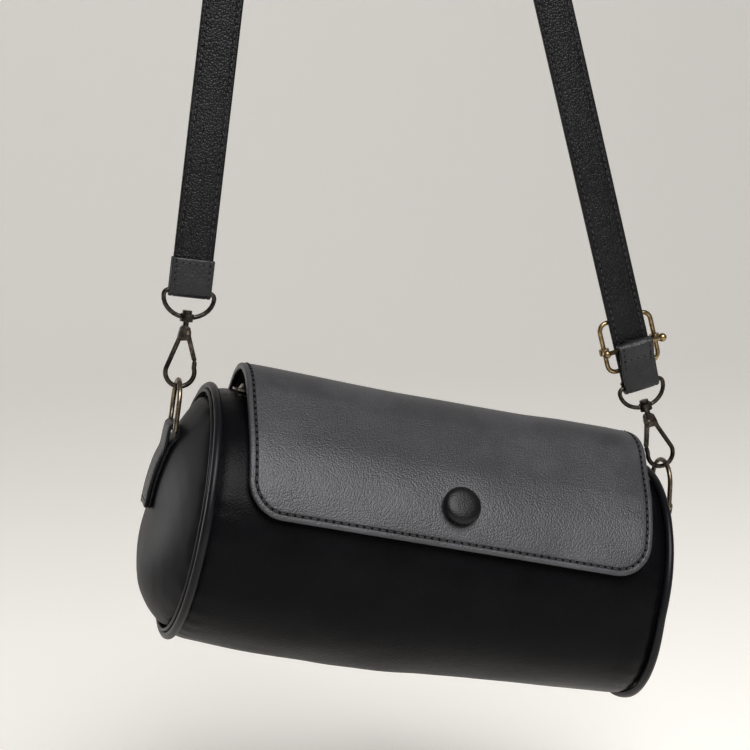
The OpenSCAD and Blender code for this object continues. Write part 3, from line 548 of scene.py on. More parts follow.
def end_cushion(end):
    """The closed form of a padded end: its domed front, its skirt in the drum and its flat back."""
    sign = SIGN[end]
    rings, spokes = 22, 72
    points = [in_bag(sign * (DOME_X + dome_swell(0, 0)), 0, 0)]
    rows = [(DOME_R * i / rings, None) for i in range(1, rings + 1)]
    rows += [(DOME_R - 0.4, DOME_X - 1.0), (DOME_R - 1.2, DOME_BACK_X + 0.6),
             (DOME_R - 2.4, DOME_BACK_X)]
    for r, x in rows:
        for k in range(spokes):
            a = 2 * pi * k / spokes
            out = x if x is not None else DOME_X + dome_swell(r, -cos(a))
            points.append(in_bag(sign * out, r * sin(a), r * cos(a)))
    back, last = len(points), len(points) - spokes
    points.append(in_bag(sign * DOME_BACK_X, 0, 0))
    faces = [(0, 1 + k, 1 + (k + 1) % spokes) for k in range(spokes)]
    faces += strips(len(rows), spokes, start=1, closed=True)
    faces += [(back, last + (k + 1) % spokes, last + k) for k in range(spokes)]
    return outward(link_mesh(end + "_end_cushion", points, faces))


def swollen(piece, voxel, pressure, cap, held):
    """Blows a closed form up as cloth under pressure, with some points held and the rest capped."""
    remesh = piece.modifiers.new("even", "REMESH")
    remesh.mode = "VOXEL"
    remesh.voxel_size = voxel * MM
    baked(piece)
    start = [v.co.copy() for v in piece.data.vertices]
    group = piece.vertex_groups.new(name="held")
    group.add([i for i, p in enumerate(start) if held(p)], 1.0, "REPLACE")
    cloth = piece.modifiers.new("swell", "CLOTH")
    cloth.settings.vertex_group_mass = "held"
    cloth.settings.use_pressure = True
    cloth.settings.uniform_pressure_force = pressure
    cloth.settings.effector_weights.gravity = 0
    cloth.collision_settings.use_collision = False
    cloth.point_cache.frame_end = SWELL_STEPS
    for step in range(1, SWELL_STEPS + 1):
        bpy.context.scene.frame_set(step)
    graph = bpy.context.evaluated_depsgraph_get()
    moved = [v.co.copy() for v in piece.evaluated_get(graph).data.vertices]
    piece.modifiers.clear()
    piece.vertex_groups.clear()
    bpy.context.scene.frame_set(1)
    for vertex, was, now in zip(piece.data.vertices, start, moved):
        shift = now - was
        if shift.length > cap * MM:
            shift *= cap * MM / shift.length
        vertex.co = was + shift
    return piece


def round_off(piece):
    """Adds a subdivision and bakes it."""
    finish = piece.modifiers.new("round", "SUBSURF")
    finish.levels = finish.render_levels = 1
    baked(piece)
    piece.data.shade_smooth()
    return piece


def untilted(point):
    """From the frame back to a place along the barrel's level axis, in mm, before it settles."""
    d = (point - BAG_MID) / MM
    return Vector((d.x * TILT_COS - d.z * TILT_SIN, d.y, d.x * TILT_SIN + d.z * TILT_COS))


def bag_place(point):
    """From the frame back to a place round the barrel's own axis, in mm."""
    there = untilted(point)
    guess = there.copy()
    for _ in range(6):
        guess += there - Vector(settled(*guess))
    return guess


def held_at_seam(point):
    p = bag_place(point)
    return hypot(p.y, p.z) > DOME_R - 3.5 or abs(p.x) < DOME_X - 0.5


cushions = {}
for end, sign in SIGN.items():
    cushion = end_cushion(end)
    swollen(cushion, 3.5, 4.0, 1.1, held_at_seam)
    round_off(cushion)
    for vertex in cushion.data.vertices:
        p = bag_place(vertex.co)
        r, a = hypot(p.y, p.z), atan2(p.y, p.z)
        if abs(p.x) < DOME_X - 0.8:
            continue
        pucker = exp(-(DOME_R - r) / 3.0) * 0.22 * sin(a * 26 + 2.2 * sin(a * 3 + sign))
        swell = ripple((p.x, p.y, p.z), 24, 0.5, sign) * min(1.0, (DOME_R - r) / 10)
        vertex.co = in_bag(p.x + sign * (pucker + swell), p.y, p.z)
    cushion.data.update()
    made(cushion, end_leather, "bag", "outer_leather", end + "_end_panel", end + "_end_padding")
    cushions[end] = cushion

# Piping. A cord wrapped in leather and sewn into each end seam, with the narrow lip of the
# end panel turned over beside it.
PIPING_X, PIPING_R, CORD_R = 96.7, 52.6, 1.75
LIP_X, LIP_RING_R, LIP_R = 98.5, 50.5, 0.75
HOOP_STEPS, CORD_SIDES, LIP_SIDES = 180, 18, 10
trim_leather = leather("trim_leather", (0.003, 0.003, 0.004), (0.007, 0.007, 0.0088), 0.34, 0.16,
                       depth=0.03, wrinkles=0.05)


def hoop(x, ring_r, tube_r, sign, sides, uneven):
    """Points of a leather hoop round the barrel's end."""
    points = []
    for i in range(HOOP_STEPS):
        a = 2 * pi * i / HOOP_STEPS
        r = tube_r * (1 + uneven * noise.noise(Vector((cos(a) * 5, sin(a) * 5, ring_r + sign))))
        for k in range(sides):
            b = 2 * pi * k / sides
            out = ring_r + r * cos(b)
            points.append(in_bag(sign * (x + r * sin(b)), out * sin(a), out * cos(a)))
    return points


for end, sign in SIGN.items():
    cord = hoop(PIPING_X, PIPING_R, CORD_R, sign, CORD_SIDES, 0.05)
    lip = hoop(LIP_X, LIP_RING_R, LIP_R, sign, LIP_SIDES, 0.12)
    faces = strips(HOOP_STEPS, CORD_SIDES, closed=True, looped=True)
    faces += strips(HOOP_STEPS, LIP_SIDES, len(cord), closed=True, looped=True)
    piping = outward(link_mesh(end + "_piping_hoop", cord + lip, faces))
    made(piping, trim_leather, "bag", "trim_leather", end + "_piping")

# Flap. Charcoal pebbled leather with its edge turned under, over a thin stiffener and a cloth
# lining. Its colour is set lighter than the button's, partly as painted sheen. It lies on the front,
# arches over the zip and is sewn on behind.
FLAP_R = 54.9
FLAP_BACK_R = 53.3
RIDGE_R = 30.3
RIDGE_MID = (0.5, 31.6)
FLAP_T = 2.8
FLAP_LOW = radians(13.5)
FLAP_END = radians(138)
FLAP_SHIFT = 1.2
FLAP_HALF_TOP = 88.0
FLAP_HALF_LOW = 83.8
FLAP_CORNER = 15.0
BUTTON_TURN = radians(30.2)
ridge_turn = atan2(RIDGE_MID[1], RIDGE_MID[0])
ridge_far = hypot(*RIDGE_MID)
front_end = ridge_turn - acos((FLAP_R - RIDGE_R) / ridge_far)
back_start = ridge_turn + acos((FLAP_BACK_R - RIDGE_R) / ridge_far)
front_len = FLAP_R * (front_end - FLAP_LOW)
ridge_len = RIDGE_R * (back_start - front_end)
flap_len = front_len + ridge_len + FLAP_BACK_R * (FLAP_END - back_start)


def flap_spot(run, off):
    """Depth and height of a place on the flap: run is from its lower edge, off from its inside."""
    if run < front_len:
        mid, r, a = (0, 0), FLAP_R, FLAP_LOW + run / FLAP_R
    elif run < front_len + ridge_len:
        mid, r, a = RIDGE_MID, RIDGE_R, front_end + (run - front_len) / RIDGE_R
    else:
        mid, r, a = (0, 0), FLAP_BACK_R, back_start + (run - front_len - ridge_len) / FLAP_BACK_R
    return -(mid[0] + (r + off) * cos(a)), mid[1] + (r + off) * sin(a)


def flap_lift(x, run):
    """How far the soft leather stands off its even curve."""
    side = x / FLAP_HALF_TOP
    button_run = FLAP_R * (BUTTON_TURN - FLAP_LOW)
    dent = 0.6 * exp(-(((x - FLAP_SHIFT) / 11) ** 2 + ((run - button_run) / 11) ** 2))
    waves = ripple((x, run, 0), 44, 0.7) + ripple((x, run, 9), 19, 0.2)
    away = smooth_step((flap_len - run) / 25)
    curl = 0.5 * exp(-run / 7) * abs(side) ** 2
    high = 1.9 * smooth_step((side - 0.1) / 0.8) * smooth_step((run - front_len + 10) / 22)
    return away * (waves - dent + curl + high)


def on_flap(x, run, off):
    y, z = flap_spot(run, off + flap_lift(x, run))
    return in_bag(x, y, z)


def flap_half(run):
    low_z, high_z = flap_spot(0, 0)[1], RIDGE_MID[1] + RIDGE_R
    share = (flap_spot(run, 0)[1] - low_z) / (high_z - low_z)
    return FLAP_HALF_LOW + (FLAP_HALF_TOP - FLAP_HALF_LOW) * share


SIDE_STEPS, CORNER_STEPS, LOW_STEPS = 60, 12, 64


def flap_loop(inset):
    """Places at one distance inside the edge: down the left, along the bottom, up the right."""
    half = flap_half(FLAP_CORNER)
    left = [(-(flap_half(run) - inset), run) for run in
            (flap_len + (FLAP_CORNER - flap_len) * i / SIDE_STEPS for i in range(SIDE_STEPS))]
    for i in range(CORNER_STEPS + 1):
        a = radians(180 + 90 * i / CORNER_STEPS)
        r = FLAP_CORNER - inset
        left.append((-(half - FLAP_CORNER) + r * cos(a), FLAP_CORNER + r * sin(a)))
    right = [(-x, run) for x, run in reversed(left)]
    span = half - FLAP_CORNER
    bottom = [(-span + 2 * span * i / LOW_STEPS, inset) for i in range(1, LOW_STEPS)]
    return [(x + FLAP_SHIFT, run) for x, run in left + bottom + right]


def patch(loop):
    """Fills the inside of a loop with a grid whose rim is the loop. Returns rows of places."""
    down = SIDE_STEPS + CORNER_STEPS
    wide = len(loop) - 1 - 2 * down
    first, last, low_first, low_last = loop[0], loop[-1], loop[down], loop[down + wide]

    def inside(k, i, j):
        u, v = j / wide, i / down
        high = first[k] + (last[k] - first[k]) * u
        sides = (1 - u) * loop[i][k] + u * loop[-1 - i][k]
        corners = ((1 - u) * (1 - v) * first[k] + u * (1 - v) * last[k]
                   + (1 - u) * v * low_first[k] + u * v * low_last[k])
        return (1 - v) * high + v * loop[down + j][k] + sides - corners

    return [[(inside(0, i, j), inside(1, i, j)) for j in range(wide + 1)] for i in range(down + 1)]


def flap_sheet(name, layers):
    """A closed sheet on the flap. Layers are pairs of distance from the edge and height, from the
    middle of the top over the edge to the middle of the underside."""
    points, faces, edge = [], [], []

    def add_patch(inset, off):
        rows = patch(flap_loop(inset))
        faces.extend(strips(len(rows), len(rows[0]), len(points)))
        points.extend(on_flap(x, run, off) for row in rows for x, run in row)
        edge.extend([inset + 4.0] * (len(points) - len(edge)))

    add_patch(*layers[0])
    faces += strips(len(layers), len(flap_loop(0)), len(points))
    for inset, off in layers:
        points += [on_flap(x, run, off) for x, run in flap_loop(inset)]
        edge += [inset if off > FLAP_T / 2 else 40.0] * (len(points) - len(edge))
    add_patch(*layers[-1])
    piece = link_mesh(name, points, faces)
    piece.data.attributes.new("edge_mm", "FLOAT", "POINT").data.foreach_set("value", edge)
    return outward(piece, filled=True)


# The flap's base colour is lighter than the button's leather, partly as painted sheen.
flap_leather = leather("flap_leather", (0.02, 0.0197, 0.0228), (0.052, 0.0511, 0.0577), 0.43, 0.52,
                       cells_per_m=1400, depth=0.18, wrinkles=0.0, sewn=0.32)
flap_top = [(12, FLAP_T), (9, FLAP_T), (6.5, FLAP_T), (4.6, FLAP_T), (3.4, 2.76), (3.0, 2.64),
            (2.6, 2.55), (2.2, 2.64), (1.8, 2.76), (1.2, 2.78), (0.8, 2.75), (0.4, 2.64)]
flap_rim = [(0.12, 2.42), (0, 2.05), (0, 0.6), (0.12, 0.22)]
flap_under = [(0.4, 0.04), (0.9, 0), (2.3, 0), (2.35, 0.5), (2.4, 1.62), (6, 1.62), (12, 1.62)]
flap = flap_sheet("flap_leather_sheet", flap_top + flap_rim + flap_under)
made(flap, flap_leather, "flap", "outer_leather", "flap_skin")
flap_rows = [[on_flap(x, run, 2.62) for x, run in flap_loop(2.6)]]
stitches("flap_stitches", flap_rows, "flap", "outer_leather", hole=1.05)

# Cloth. A plain weave, seen as crossing ribs in the bump and as a slight change of tone. It lines
# the flap and the drum, and the zip's tapes are woven of it.
tree, given, gives = node_group(
    "plain_weave",
    [("Colour", "Color", (0.03, 0.03, 0.032, 1)), ("Threads per metre", "Float", 1800.0)],
    [("Colour", "Color"), ("Height", "Float")])
place = object_place(tree)
parts = add(tree, "ShaderNodeSeparateXYZ", [("Vector", place)]).outputs
ribs = []
for axis in ("X", "Z"):
    turn = maths(tree, "MULTIPLY", parts[axis], given["Threads per metre"])
    ribs.append(maths(tree, "SINE", maths(tree, "MULTIPLY", turn, pi)))
cross = maths(tree, "MULTIPLY", *ribs)
fuzz = maths(tree, "MULTIPLY_ADD", clouds(tree, place, 700.0, 3.0)["Fac"], 1.0, cross)
light = spread(tree, fuzz, -0.4, 1.6, 0.0, 0.6)
tone = mixed(tree, light, given["Colour"], (0.12, 0.12, 0.125, 1))
give(tree, gives, Colour=tone, Height=maths(tree, "MULTIPLY", cross, 0.05))


def cloth_of(name, colour, threads):
    return surface(name, "plain_weave", {"Colour": (*colour, 1), "Threads per metre": threads},
                   {"Specular IOR Level": 0.25, "Sheen Weight": 0.15, "Roughness": 0.75})


lining_cloth = cloth_of("lining_cloth", (0.02, 0.02, 0.023), 1700)
tape_cloth = cloth_of("zip_tape_cloth", (0.01, 0.01, 0.011), 1300)
lining_layers = [(12, 0.58), (2.7, 0.58), (2.45, 0.5), (2.45, 0.12), (2.7, 0.04), (12, 0.04)]
flap_cloth = flap_sheet("flap_lining_sheet", lining_layers)
made(flap_cloth, lining_cloth, "flap", "lining_cloth", "flap_lining")

# Button. A moulded dome covered in the same leather, drawn tight over its rim, which hides the
# magnet's rivet.
BUTTON_R, BUTTON_H, BUTTON_SIDE, BUTTON_X = 7.8, 5.5, 2.6, 1.8
BUTTON_SPOKES = 48
button_points = []
button_rings = [(6.6, 0.05), (7.2, 0.35), (7.55, 1.0), (BUTTON_R, BUTTON_SIDE)]
button_rings += [(BUTTON_R * cos(a) ** 0.62, BUTTON_SIDE + (BUTTON_H - BUTTON_SIDE) * sin(a) ** 0.8)
                 for a in (radians(6 * i) for i in range(1, 15))]
for r, up in button_rings:
    for k in range(BUTTON_SPOKES):
        a = 2 * pi * k / BUTTON_SPOKES
        pleat = 0.1 * sin(a * 17) * exp(-((up - 1.2) / 1.1) ** 2)
        side, rise = (r + pleat) * cos(a), (r + pleat) * sin(a)
        out = FLAP_R + FLAP_T + up - 0.1
        y = -(out * cos(BUTTON_TURN) - rise * sin(BUTTON_TURN))
        z = out * sin(BUTTON_TURN) + rise * cos(BUTTON_TURN)
        button_points.append(in_bag(BUTTON_X + side, y, z))
button_faces = strips(len(button_rings), BUTTON_SPOKES, closed=True)
button_faces.append(tuple(range(BUTTON_SPOKES)))
button_faces.append(tuple(range(len(button_points) - BUTTON_SPOKES, len(button_points)))[::-1])
button_leather = leather("button_leather", (0.0025, 0.0025, 0.003), (0.007, 0.007, 0.008), 0.34, 0.2,
                         depth=0.07, wrinkles=0.03)
button = outward(link_mesh("covered_button", button_points, button_faces))
made(button, button_leather, "flap", "trim_leather", "flap_button")

# Bands. The strap, its sewn ends, the ring tabs and the strip behind are all doubled leather, the
# strap, its fold and the strip padded a little down the middle, with a row of stitches pulled in
# along each edge.
band_leather = leather("band_leather", (0.002, 0.002, 0.0025), (0.0065, 0.0065, 0.0078), 0.3, 0.16,
                       cells_per_m=1200, depth=0.26, wrinkles=0.12)


def smooth_path(corners, steps):
    """Points along a soft curve through flat places, each with its direction."""
    path, last = [], len(corners) - 1
    for i in range(last):
        p = [Vector((*corners[max(0, min(last, i + k))], 0)) for k in (-1, 0, 1, 2)]
        for t in (n / steps for n in range(steps)):
            bend = 2 * p[0] - 5 * p[1] + 4 * p[2] - p[3]
            path.append(0.5 * (2 * p[1] + (p[2] - p[0]) * t + bend * t * t
                               + (3 * p[1] - p[0] - 3 * p[2] + p[3]) * t ** 3))
    path.append(Vector((*corners[-1], 0)))
    ahead, behind = path[1:] + path[-1:], path[:1] + path[:-1]
    return [(p, (after - before).normalized()) for p, after, before in zip(path, ahead, behind)]


def band_section(half_w, half_t, sewn_in, padded):
    """Half of the section, from one edge over the top to the other, as places and heights."""
    right = [(half_w, 0.3), (half_w - 0.12, 0.68), (half_w - 0.4, 0.9), (half_w - 1.0, 1.0)]
    if sewn_in:
        right += [(half_w - sewn_in + 0.45, 1.0), (half_w - sewn_in, 1.0 - 0.3 / half_t)]
    crown = half_w - sewn_in - 0.45
    right += [(crown * share, 1 + padded * (1 - share ** 2))
              for share in (1, 0.84, 0.66, 0.44, 0.22, 0)]
    left = [(-w, t) for w, t in right]
    return [(w, t * half_t) for w, t in left + right[-2::-1]]


def band(name, stations, half_w, half_t, sewn_in=2.0, padded=0.12):
    """Sweeps a band's section along stations, each a middle, the way across and the way out."""
    over_top = band_section(half_w, half_t, sewn_in, padded)
    outline = over_top + [(w, -t) for w, t in reversed(over_top)]

    def tip(at, near):
        """A flatter ring just past one end."""
        return stations[at], (stations[at][0] - stations[near][0]).normalized() * 0.35 * MM, 0.6

    rings = [tip(0, 1)] + [(station, Vector(), 1.0) for station in stations] + [tip(-1, -2)]
    points = []
    for (middle, wide, out), shift, flat in rings:
        for w, t in outline:
            w_now = w - copysign(0.25, w) * (1 - flat) / 0.4 if abs(w) > 1 else w
            points.append(middle + shift + (wide * w_now + out * t * flat) * MM)
    n = len(outline)
    faces = strips(len(rings), n, closed=True)
    faces.append(tuple(range(n)))
    faces.append(tuple(range(len(points) - n, len(points)))[::-1])
    return outward(link_mesh(name, points, faces))


def band_rows(stations, half_w, half_t, sewn_in=2.0, faces=(1, -1), first=0, last=None):
    """The stitch rows of a band, on its top, its underside or both."""
    return [[middle + (wide * side * (half_w - sewn_in) + out * face * (half_t - 0.22)) * MM
             for middle, wide, out in stations[first:last]] for face in faces for side in (-1, 1)]


def row_across(station, half_w, height, sewn_in=2.0):
    """A stitch row across a band at one station."""
    middle, wide, out = station
    reach = half_w - sewn_in
    return [middle + (wide * reach * (t / 3 - 1) + out * height) * MM for t in range(7)]


STRIP = {"half_w": 4.5, "half_t": 1.35, "sewn_in": 1.6}
STRIP_HALF_LEN, STRIP_R, STRIP_UP = 85.6, 54.45, radians(36.4)
out = in_bag(0, cos(STRIP_UP), sin(STRIP_UP)) - BAG_MID
rise = in_bag(0, -sin(STRIP_UP), cos(STRIP_UP)) - BAG_MID
strip_stations = []
for i in range(61):
    x = FLAP_SHIFT - STRIP_HALF_LEN + 2 * STRIP_HALF_LEN * i / 60
    r = STRIP_R + ripple((x, 0, 0), 30, 0.15)
    middle = in_bag(x, r * cos(STRIP_UP), r * sin(STRIP_UP))
    strip_stations.append((middle, rise / MM, out / MM))
seam_strip = band("back_seam_strip", strip_stations, padded=0.05, **STRIP)
made(seam_strip, trim_leather, "bag", "trim_leather", "flap_seam_strip")
stitches("back_seam_stitches", band_rows(strip_stations, faces=(1,), **STRIP), "bag", "trim_leather",
         pitch=2.9, long=2.0, hole=0.7)

# Ring tabs. A strip of leather folded over the straight bar of each D-ring and sewn to the
# padded end, one ply on the other.
PLY = 1.5
LOOP_R = 1.2 + PLY / 2
TAB = {"half_w": 7.8, "half_t": PLY / 2, "sewn_in": 1.9}
SMALL_STITCH = {"pitch": 2.6, "long": 1.7, "thick": 0.5, "hole": 0.65}


def arc(mid_x, mid_z, r, turns):
    """Places round a bar, at turns in degrees."""
    return [(mid_x + r * cos(radians(a)), mid_z + r * sin(radians(a))) for a in turns]


for end, sign in SIGN.items():
    padding = BVHTree.FromObject(cushions[end], bpy.context.evaluated_depsgraph_get())
    inwards = BAG_MID - in_bag(sign, 0, 0)
    bar = bag_place(Vector(joints[end + "_ring_turn"]["pos_m"]))
    bar_out, bar_z = abs(bar.x), bar.z

    def ply_x(z, plies):
        """How far out a ply lies on the padded end at a height, in mm along the barrel."""
        hit = padding.ray_cast(in_bag(sign * 140, 0, z), inwards.normalized())
        return (abs(bag_place(hit[0]).x) if hit[0] is not None else DOME_X) + 0.15 + PLY * plies

    outer = [(ply_x(z, 1.5), z) for z in (0.4, 4, 8, 12, 16, 20)]
    outer.append((ply_x(bar_z - 8.5, 1.3) * 0.5 + (bar_out + LOOP_R + 0.4) * 0.5, bar_z - 8.5))
    outer.append((bar_out + LOOP_R + 0.15, bar_z - 3))
    inner = [(bar_out - LOOP_R + 0.1, bar_z - 3)]
    inner += [(max(ply_x(z, 0.5), bar_out - LOOP_R), z) for z in (bar_z - 6.5, bar_z - 10)]
    inner += [(ply_x(z, 0.5), z) for z in (20, 15, 10, 5, 0.4) if z < bar_z - 12]
    corners = outer + arc(bar_out, bar_z, LOOP_R, range(0, 181, 30)) + inner
    tab_stations = []
    for p, run in smooth_path(corners, 3):
        normal = (in_bag(sign * run.y, 0, -run.x) - BAG_MID) / MM
        tab_stations.append((in_bag(sign * p.x, 0, p.y), Vector((0, 1, 0)), normal))
    tab = band(end + "_tab_leather", tab_stations, padded=0.0, **TAB)
    made(tab, band_leather, "bag", "trim_leather", end + "_ring_tab")
    tab_rows = band_rows(tab_stations, faces=(1,), last=20, **TAB)
    tab_rows.append(row_across(tab_stations[2], TAB["half_w"], PLY / 2 - 0.1, TAB["sewn_in"]))
    stitches(end + "_tab_stitches", tab_rows, "bag", "trim_leather", **SMALL_STITCH)

# Strap. One long band: it rises from the left hook's eye, turns flat over whatever carries the
# bag, and comes down to the slide and the right hook's eye.
STRAP_HALF_T = 1.1
STRAP = {"half_w": 8.15, "half_t": STRAP_HALF_T}
EYE_DEPTH = 10.7
LEAN_LEFT = radians(7.5)
HANG_R = 9.0
LEG_START = {"left": 3.6, "right": 1.2}
LEG_LEN = 480
JOG_LEN = 2.4
JOG_BACK = 2.2
TWIST_FROM, TWIST_TO = 0.62, 0.97
leg_way = {"left": Vector((sin(LEAN_LEFT), 0, cos(LEAN_LEFT))),
           "right": Vector(joints["buckle_slide"]["axis"])}
eye_bar = {end: Vector(joints[end + "_hook_swivel"]["pos_m"]) + way * EYE_DEPTH * MM
           for end, way in leg_way.items()}
bend_mid = Vector((0, 0, -(HANG_R - STRAP_HALF_T))) * MM


def leg_station(end, share):
    """A place on one leg of the strap, as its middle, the way across and the way out."""
    up = leg_way[end] * -SIGN[end]
    aside = Vector((-up.z, 0, up.x))
    leg = bend_mid + aside * HANG_R * MM - eye_bar[end]
    length = leg.length / MM
    run = LEG_START[end] + share * (length - LEG_START[end])
    middle = eye_bar[end] + leg * (run / length)
    if end == "right":
        middle.y += JOG_BACK * (1 - smooth_step((run - LEG_START[end]) / JOG_LEN)) * MM
    turn = radians(90) * smooth_step((share - TWIST_FROM) / (TWIST_TO - TWIST_FROM))
    out = cos(turn) * Vector((0, -1, 0)) + sin(turn) * aside
    return middle, up.cross(out), out


shares = [0.3 * i / 20 for i in range(21)] + [0.3 + 0.32 * i / 12 for i in range(1, 13)]
shares += [TWIST_FROM + (TWIST_TO - TWIST_FROM) * i / 30 for i in range(1, 31)]
jog_shares = [JOG_LEN * i / 8 / LEG_LEN for i in range(8)] + [0.008]
strap_stations = [leg_station("left", share) for share in shares]
bend_from = pi - LEAN_LEFT
bend_to = atan2(-leg_way["right"].x, leg_way["right"].z)
for i in range(25):
    a = bend_from + (bend_to - bend_from) * i / 24
    out = Vector((cos(a), 0, sin(a)))
    up = Vector((sin(a), 0, -cos(a)))
    strap_stations.append((bend_mid + out * HANG_R * MM, up.cross(out), out))
strap_stations += [leg_station("right", share) for share in reversed(jog_shares + shares[1:])]
strap_piece = band("strap_leather", strap_stations, padded=0.2, **STRAP)
made(strap_piece, band_leather, "strap", "trim_leather", "strap")
stitches("strap_stitches", band_rows(strap_stations, first=3, last=-3, **STRAP), "strap",
         "trim_leather", pitch=3.0, long=2.1, thick=0.5, hole=0.7)


def folded(end, corners):
    """Stations of a band folded beside a leg, through places given as depth and height in mm."""
    way, found = leg_way[end], []
    for p, run in smooth_path(corners, 3):
        middle = eye_bar[end] + (Vector((0, p.x, 0)) + way * p.y) * MM
        out = way * run.x - Vector((0, run.y, 0))
        found.append((middle, Vector((way.z, 0, -way.x)), out.normalized()))
    return found


# Strap ends. On the left a separate patch is folded round the eye and sewn over the strap. On
# the right the strap itself goes round the eye and up to the bar of the slide.
EYE_WIRE, SLACK = 0.95, 0.15
PATCH = {"half_w": 8.65, "half_t": PLY / 2, "sewn_in": 1.7}
FOLD = {"half_w": 8.0, "half_t": 0.75, "sewn_in": 1.9}
BAR_BACK, BAR_UP, BAR_R = 3.6, 17.6, 1.0
# The strap's ends wear a lighter copy of the strap's leather: its lighter colour is painted sheen.
sheen_painted_patch_leather = leather("sheen_painted_patch_leather", (0.008, 0.008, 0.009), (0.026, 0.026, 0.029), 0.35, 0.3,
                        cells_per_m=1300, depth=0.17, wrinkles=0.12)
patch_y = STRAP_HALF_T + SLACK + PLY / 2
front_up = [(-patch_y, h) for h in (13, 10.5, 8, 5.5, 3.6)]
under = arc(0, 0, EYE_WIRE + SLACK + PLY / 2, range(-180, 1, 30))
patch_path = front_up + under + [(-d, h) for d, h in reversed(front_up)]
patch_stations = folded("left", patch_path)
end_patch = band("strap_end_patch", patch_stations, padded=0.0, **PATCH)
made(end_patch, sheen_painted_patch_leather, "strap", "trim_leather", "strap_end_tab")
patch_rows = band_rows(patch_stations, faces=(-1,), first=1, last=12, **PATCH)
patch_rows.append(row_across(patch_stations[2], PATCH["half_w"], 0.1 - PLY / 2, PATCH["sewn_in"]))
stitches("strap_end_stitches", patch_rows, "strap", "trim_leather", **SMALL_STITCH)

wrap_r = BAR_R + SLACK + 0.6
return_path = arc(0, 0, EYE_WIRE + SLACK + STRAP_HALF_T, range(24, -205, -29))
return_path += [(-2.5, 4), (-2.95, 8), (-3.3, 11.5), (-BAR_BACK - wrap_r * 0.5, BAR_UP - 3.2)]
return_path += arc(-BAR_BACK, BAR_UP, wrap_r, range(195, -31, -25))
return_stations = folded("right", return_path)
# The fold is the strap itself, in the lighter leather whose colour is painted sheen.
strap_fold = band("strap_fold", return_stations, padded=0.1, **FOLD)
made(strap_fold, sheen_painted_patch_leather, None, "trim_leather", "strap_return")
fold_rows = band_rows(return_stations, faces=(1,), first=28, last=38, **FOLD)
fold_rows.append(row_across(return_stations[31], FOLD["half_w"], FOLD["half_t"], FOLD["sewn_in"]))
fold_stitches = stitches("strap_fold_stitches", fold_rows, None, "trim_leather", pitch=2.8, long=1.9,
                         thick=0.5, hole=0.7)
for folded_piece in (strap_fold, fold_stitches):
    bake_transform(folded_piece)

# Zip. Two woven tapes with a comb of metal teeth on each, drawn together by a slider.
TOOTH_PITCH = 2.5
TEETH_FROM, TEETH_TO = -79.5, 81.0
TOOTH_SIZE = (1.15 * MM, 3.3 * MM, 1.5 * MM)
TAPE_R, TAPE_Z, TAPE_HALF_LEN = 51.6, 51.4, 90.4
TAPE_EDGE, TAPE_W, TAPE_T = 1.2, 11.0, 0.5
tree, given, gives = node_group(
    "patina",
    [("Metal", "Color", (0.3, 0.22, 0.12, 1)), ("Tarnish", "Color", (0.03, 0.025, 0.02, 1)),
     ("Amount", "Float", 0.5)],
    [("Colour", "Color"), ("Roughness", "Float"), ("Height", "Float")])
place = object_place(tree)
blotch = clouds(tree, place, 420.0, 5.0, 0.65)["Fac"]
scratch = clouds(tree, place, 2600.0, 2.0)["Fac"]
cover = spread(tree, maths(tree, "ADD", blotch, given["Amount"]), 0.75, 1.2)
give(tree, gives, Colour=mixed(tree, cover, given["Metal"], given["Tarnish"]),
     Roughness=spread(tree, cover, 0.0, 1.0, 0.22, 0.42),
     Height=maths(tree, "MULTIPLY", scratch, 0.012))


def old_metal(name, metal, tarnish, amount):
    values = {"Metal": (*metal, 1), "Tarnish": (*tarnish, 1), "Amount": amount}
    return surface(name, "patina", values, {"Metallic": 1.0})


zip_brass = old_metal("zip_brass", (0.3, 0.27, 0.22), (0.04, 0.035, 0.03), 0.4)
hook_bronze = old_metal("hook_bronze", (0.13, 0.105, 0.085), (0.015, 0.013, 0.012), 0.6)
ring_brass = old_metal("ring_brass", (0.3, 0.24, 0.16), (0.03, 0.025, 0.02), 0.5)
slide_brass = old_metal("slide_brass", (0.36, 0.26, 0.13), (0.05, 0.035, 0.02), 0.45)

tree, given, places, turn = row_tree("zip_comb", [("Size", "Vector"), ("Metal", "Material")])
teeth = copied(tree, places, turn, geo(tree, "MeshCube", [("Size", given["Size"])]), given["Metal"])
tree.links.new(teeth, tree.nodes.new("NodeGroupOutput").inputs[0])

for name, side in (("front", -1), ("back", 1)):
    tape_points = []
    for i in range(81):
        x = -TAPE_HALF_LEN + 2 * TAPE_HALF_LEN * i / 80
        for k in range(11):
            y = side * (TAPE_EDGE + TAPE_W * k / 10)
            sag = ripple((x, y, 0), 12, 0.12) * (k < 4)
            tape_points.append(in_bag(x, y, sqrt(TAPE_R ** 2 - y * y) + sag))
    tape_faces = [face[::side] for face in strips(81, 11)]
    tape = wall(link_mesh("zip_tape_" + name + "_cloth", tape_points, tape_faces), TAPE_T)
    made(tape, tape_cloth, "bag", "zip_tape", "zip_tape_" + name)
    shift = TOOTH_PITCH / 2 if side > 0 else 0.0
    count = int((TEETH_TO - TEETH_FROM) / TOOTH_PITCH)
    line = [in_bag(TEETH_FROM + shift + TOOTH_PITCH * i, side * 0.75, TAPE_Z) for i in range(count)]
    comb = grown("zip_comb_" + name, [line], "zip_comb",
                 {"Pitch": TOOTH_PITCH * MM, "Size": TOOTH_SIZE, "Metal": zip_brass})
    made(comb, None, "bag", "zip_metal", "zip_teeth_" + name)
    for half in (tape, comb):
        tuple(in_bag(0, side * 12.4, TAPE_Z))
        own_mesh(half)

# Metal fittings. The cast and wire pieces keep the shapes that they are built with: D-rings,
# hooks, gates, eyes, slide, slider and pull, with the hard corners of the hooks, gates, pins and zip
# pieces broken.
# Each gate's tip is drawn out a little, to close against its hook's head.
GATE_REACH = 0.28


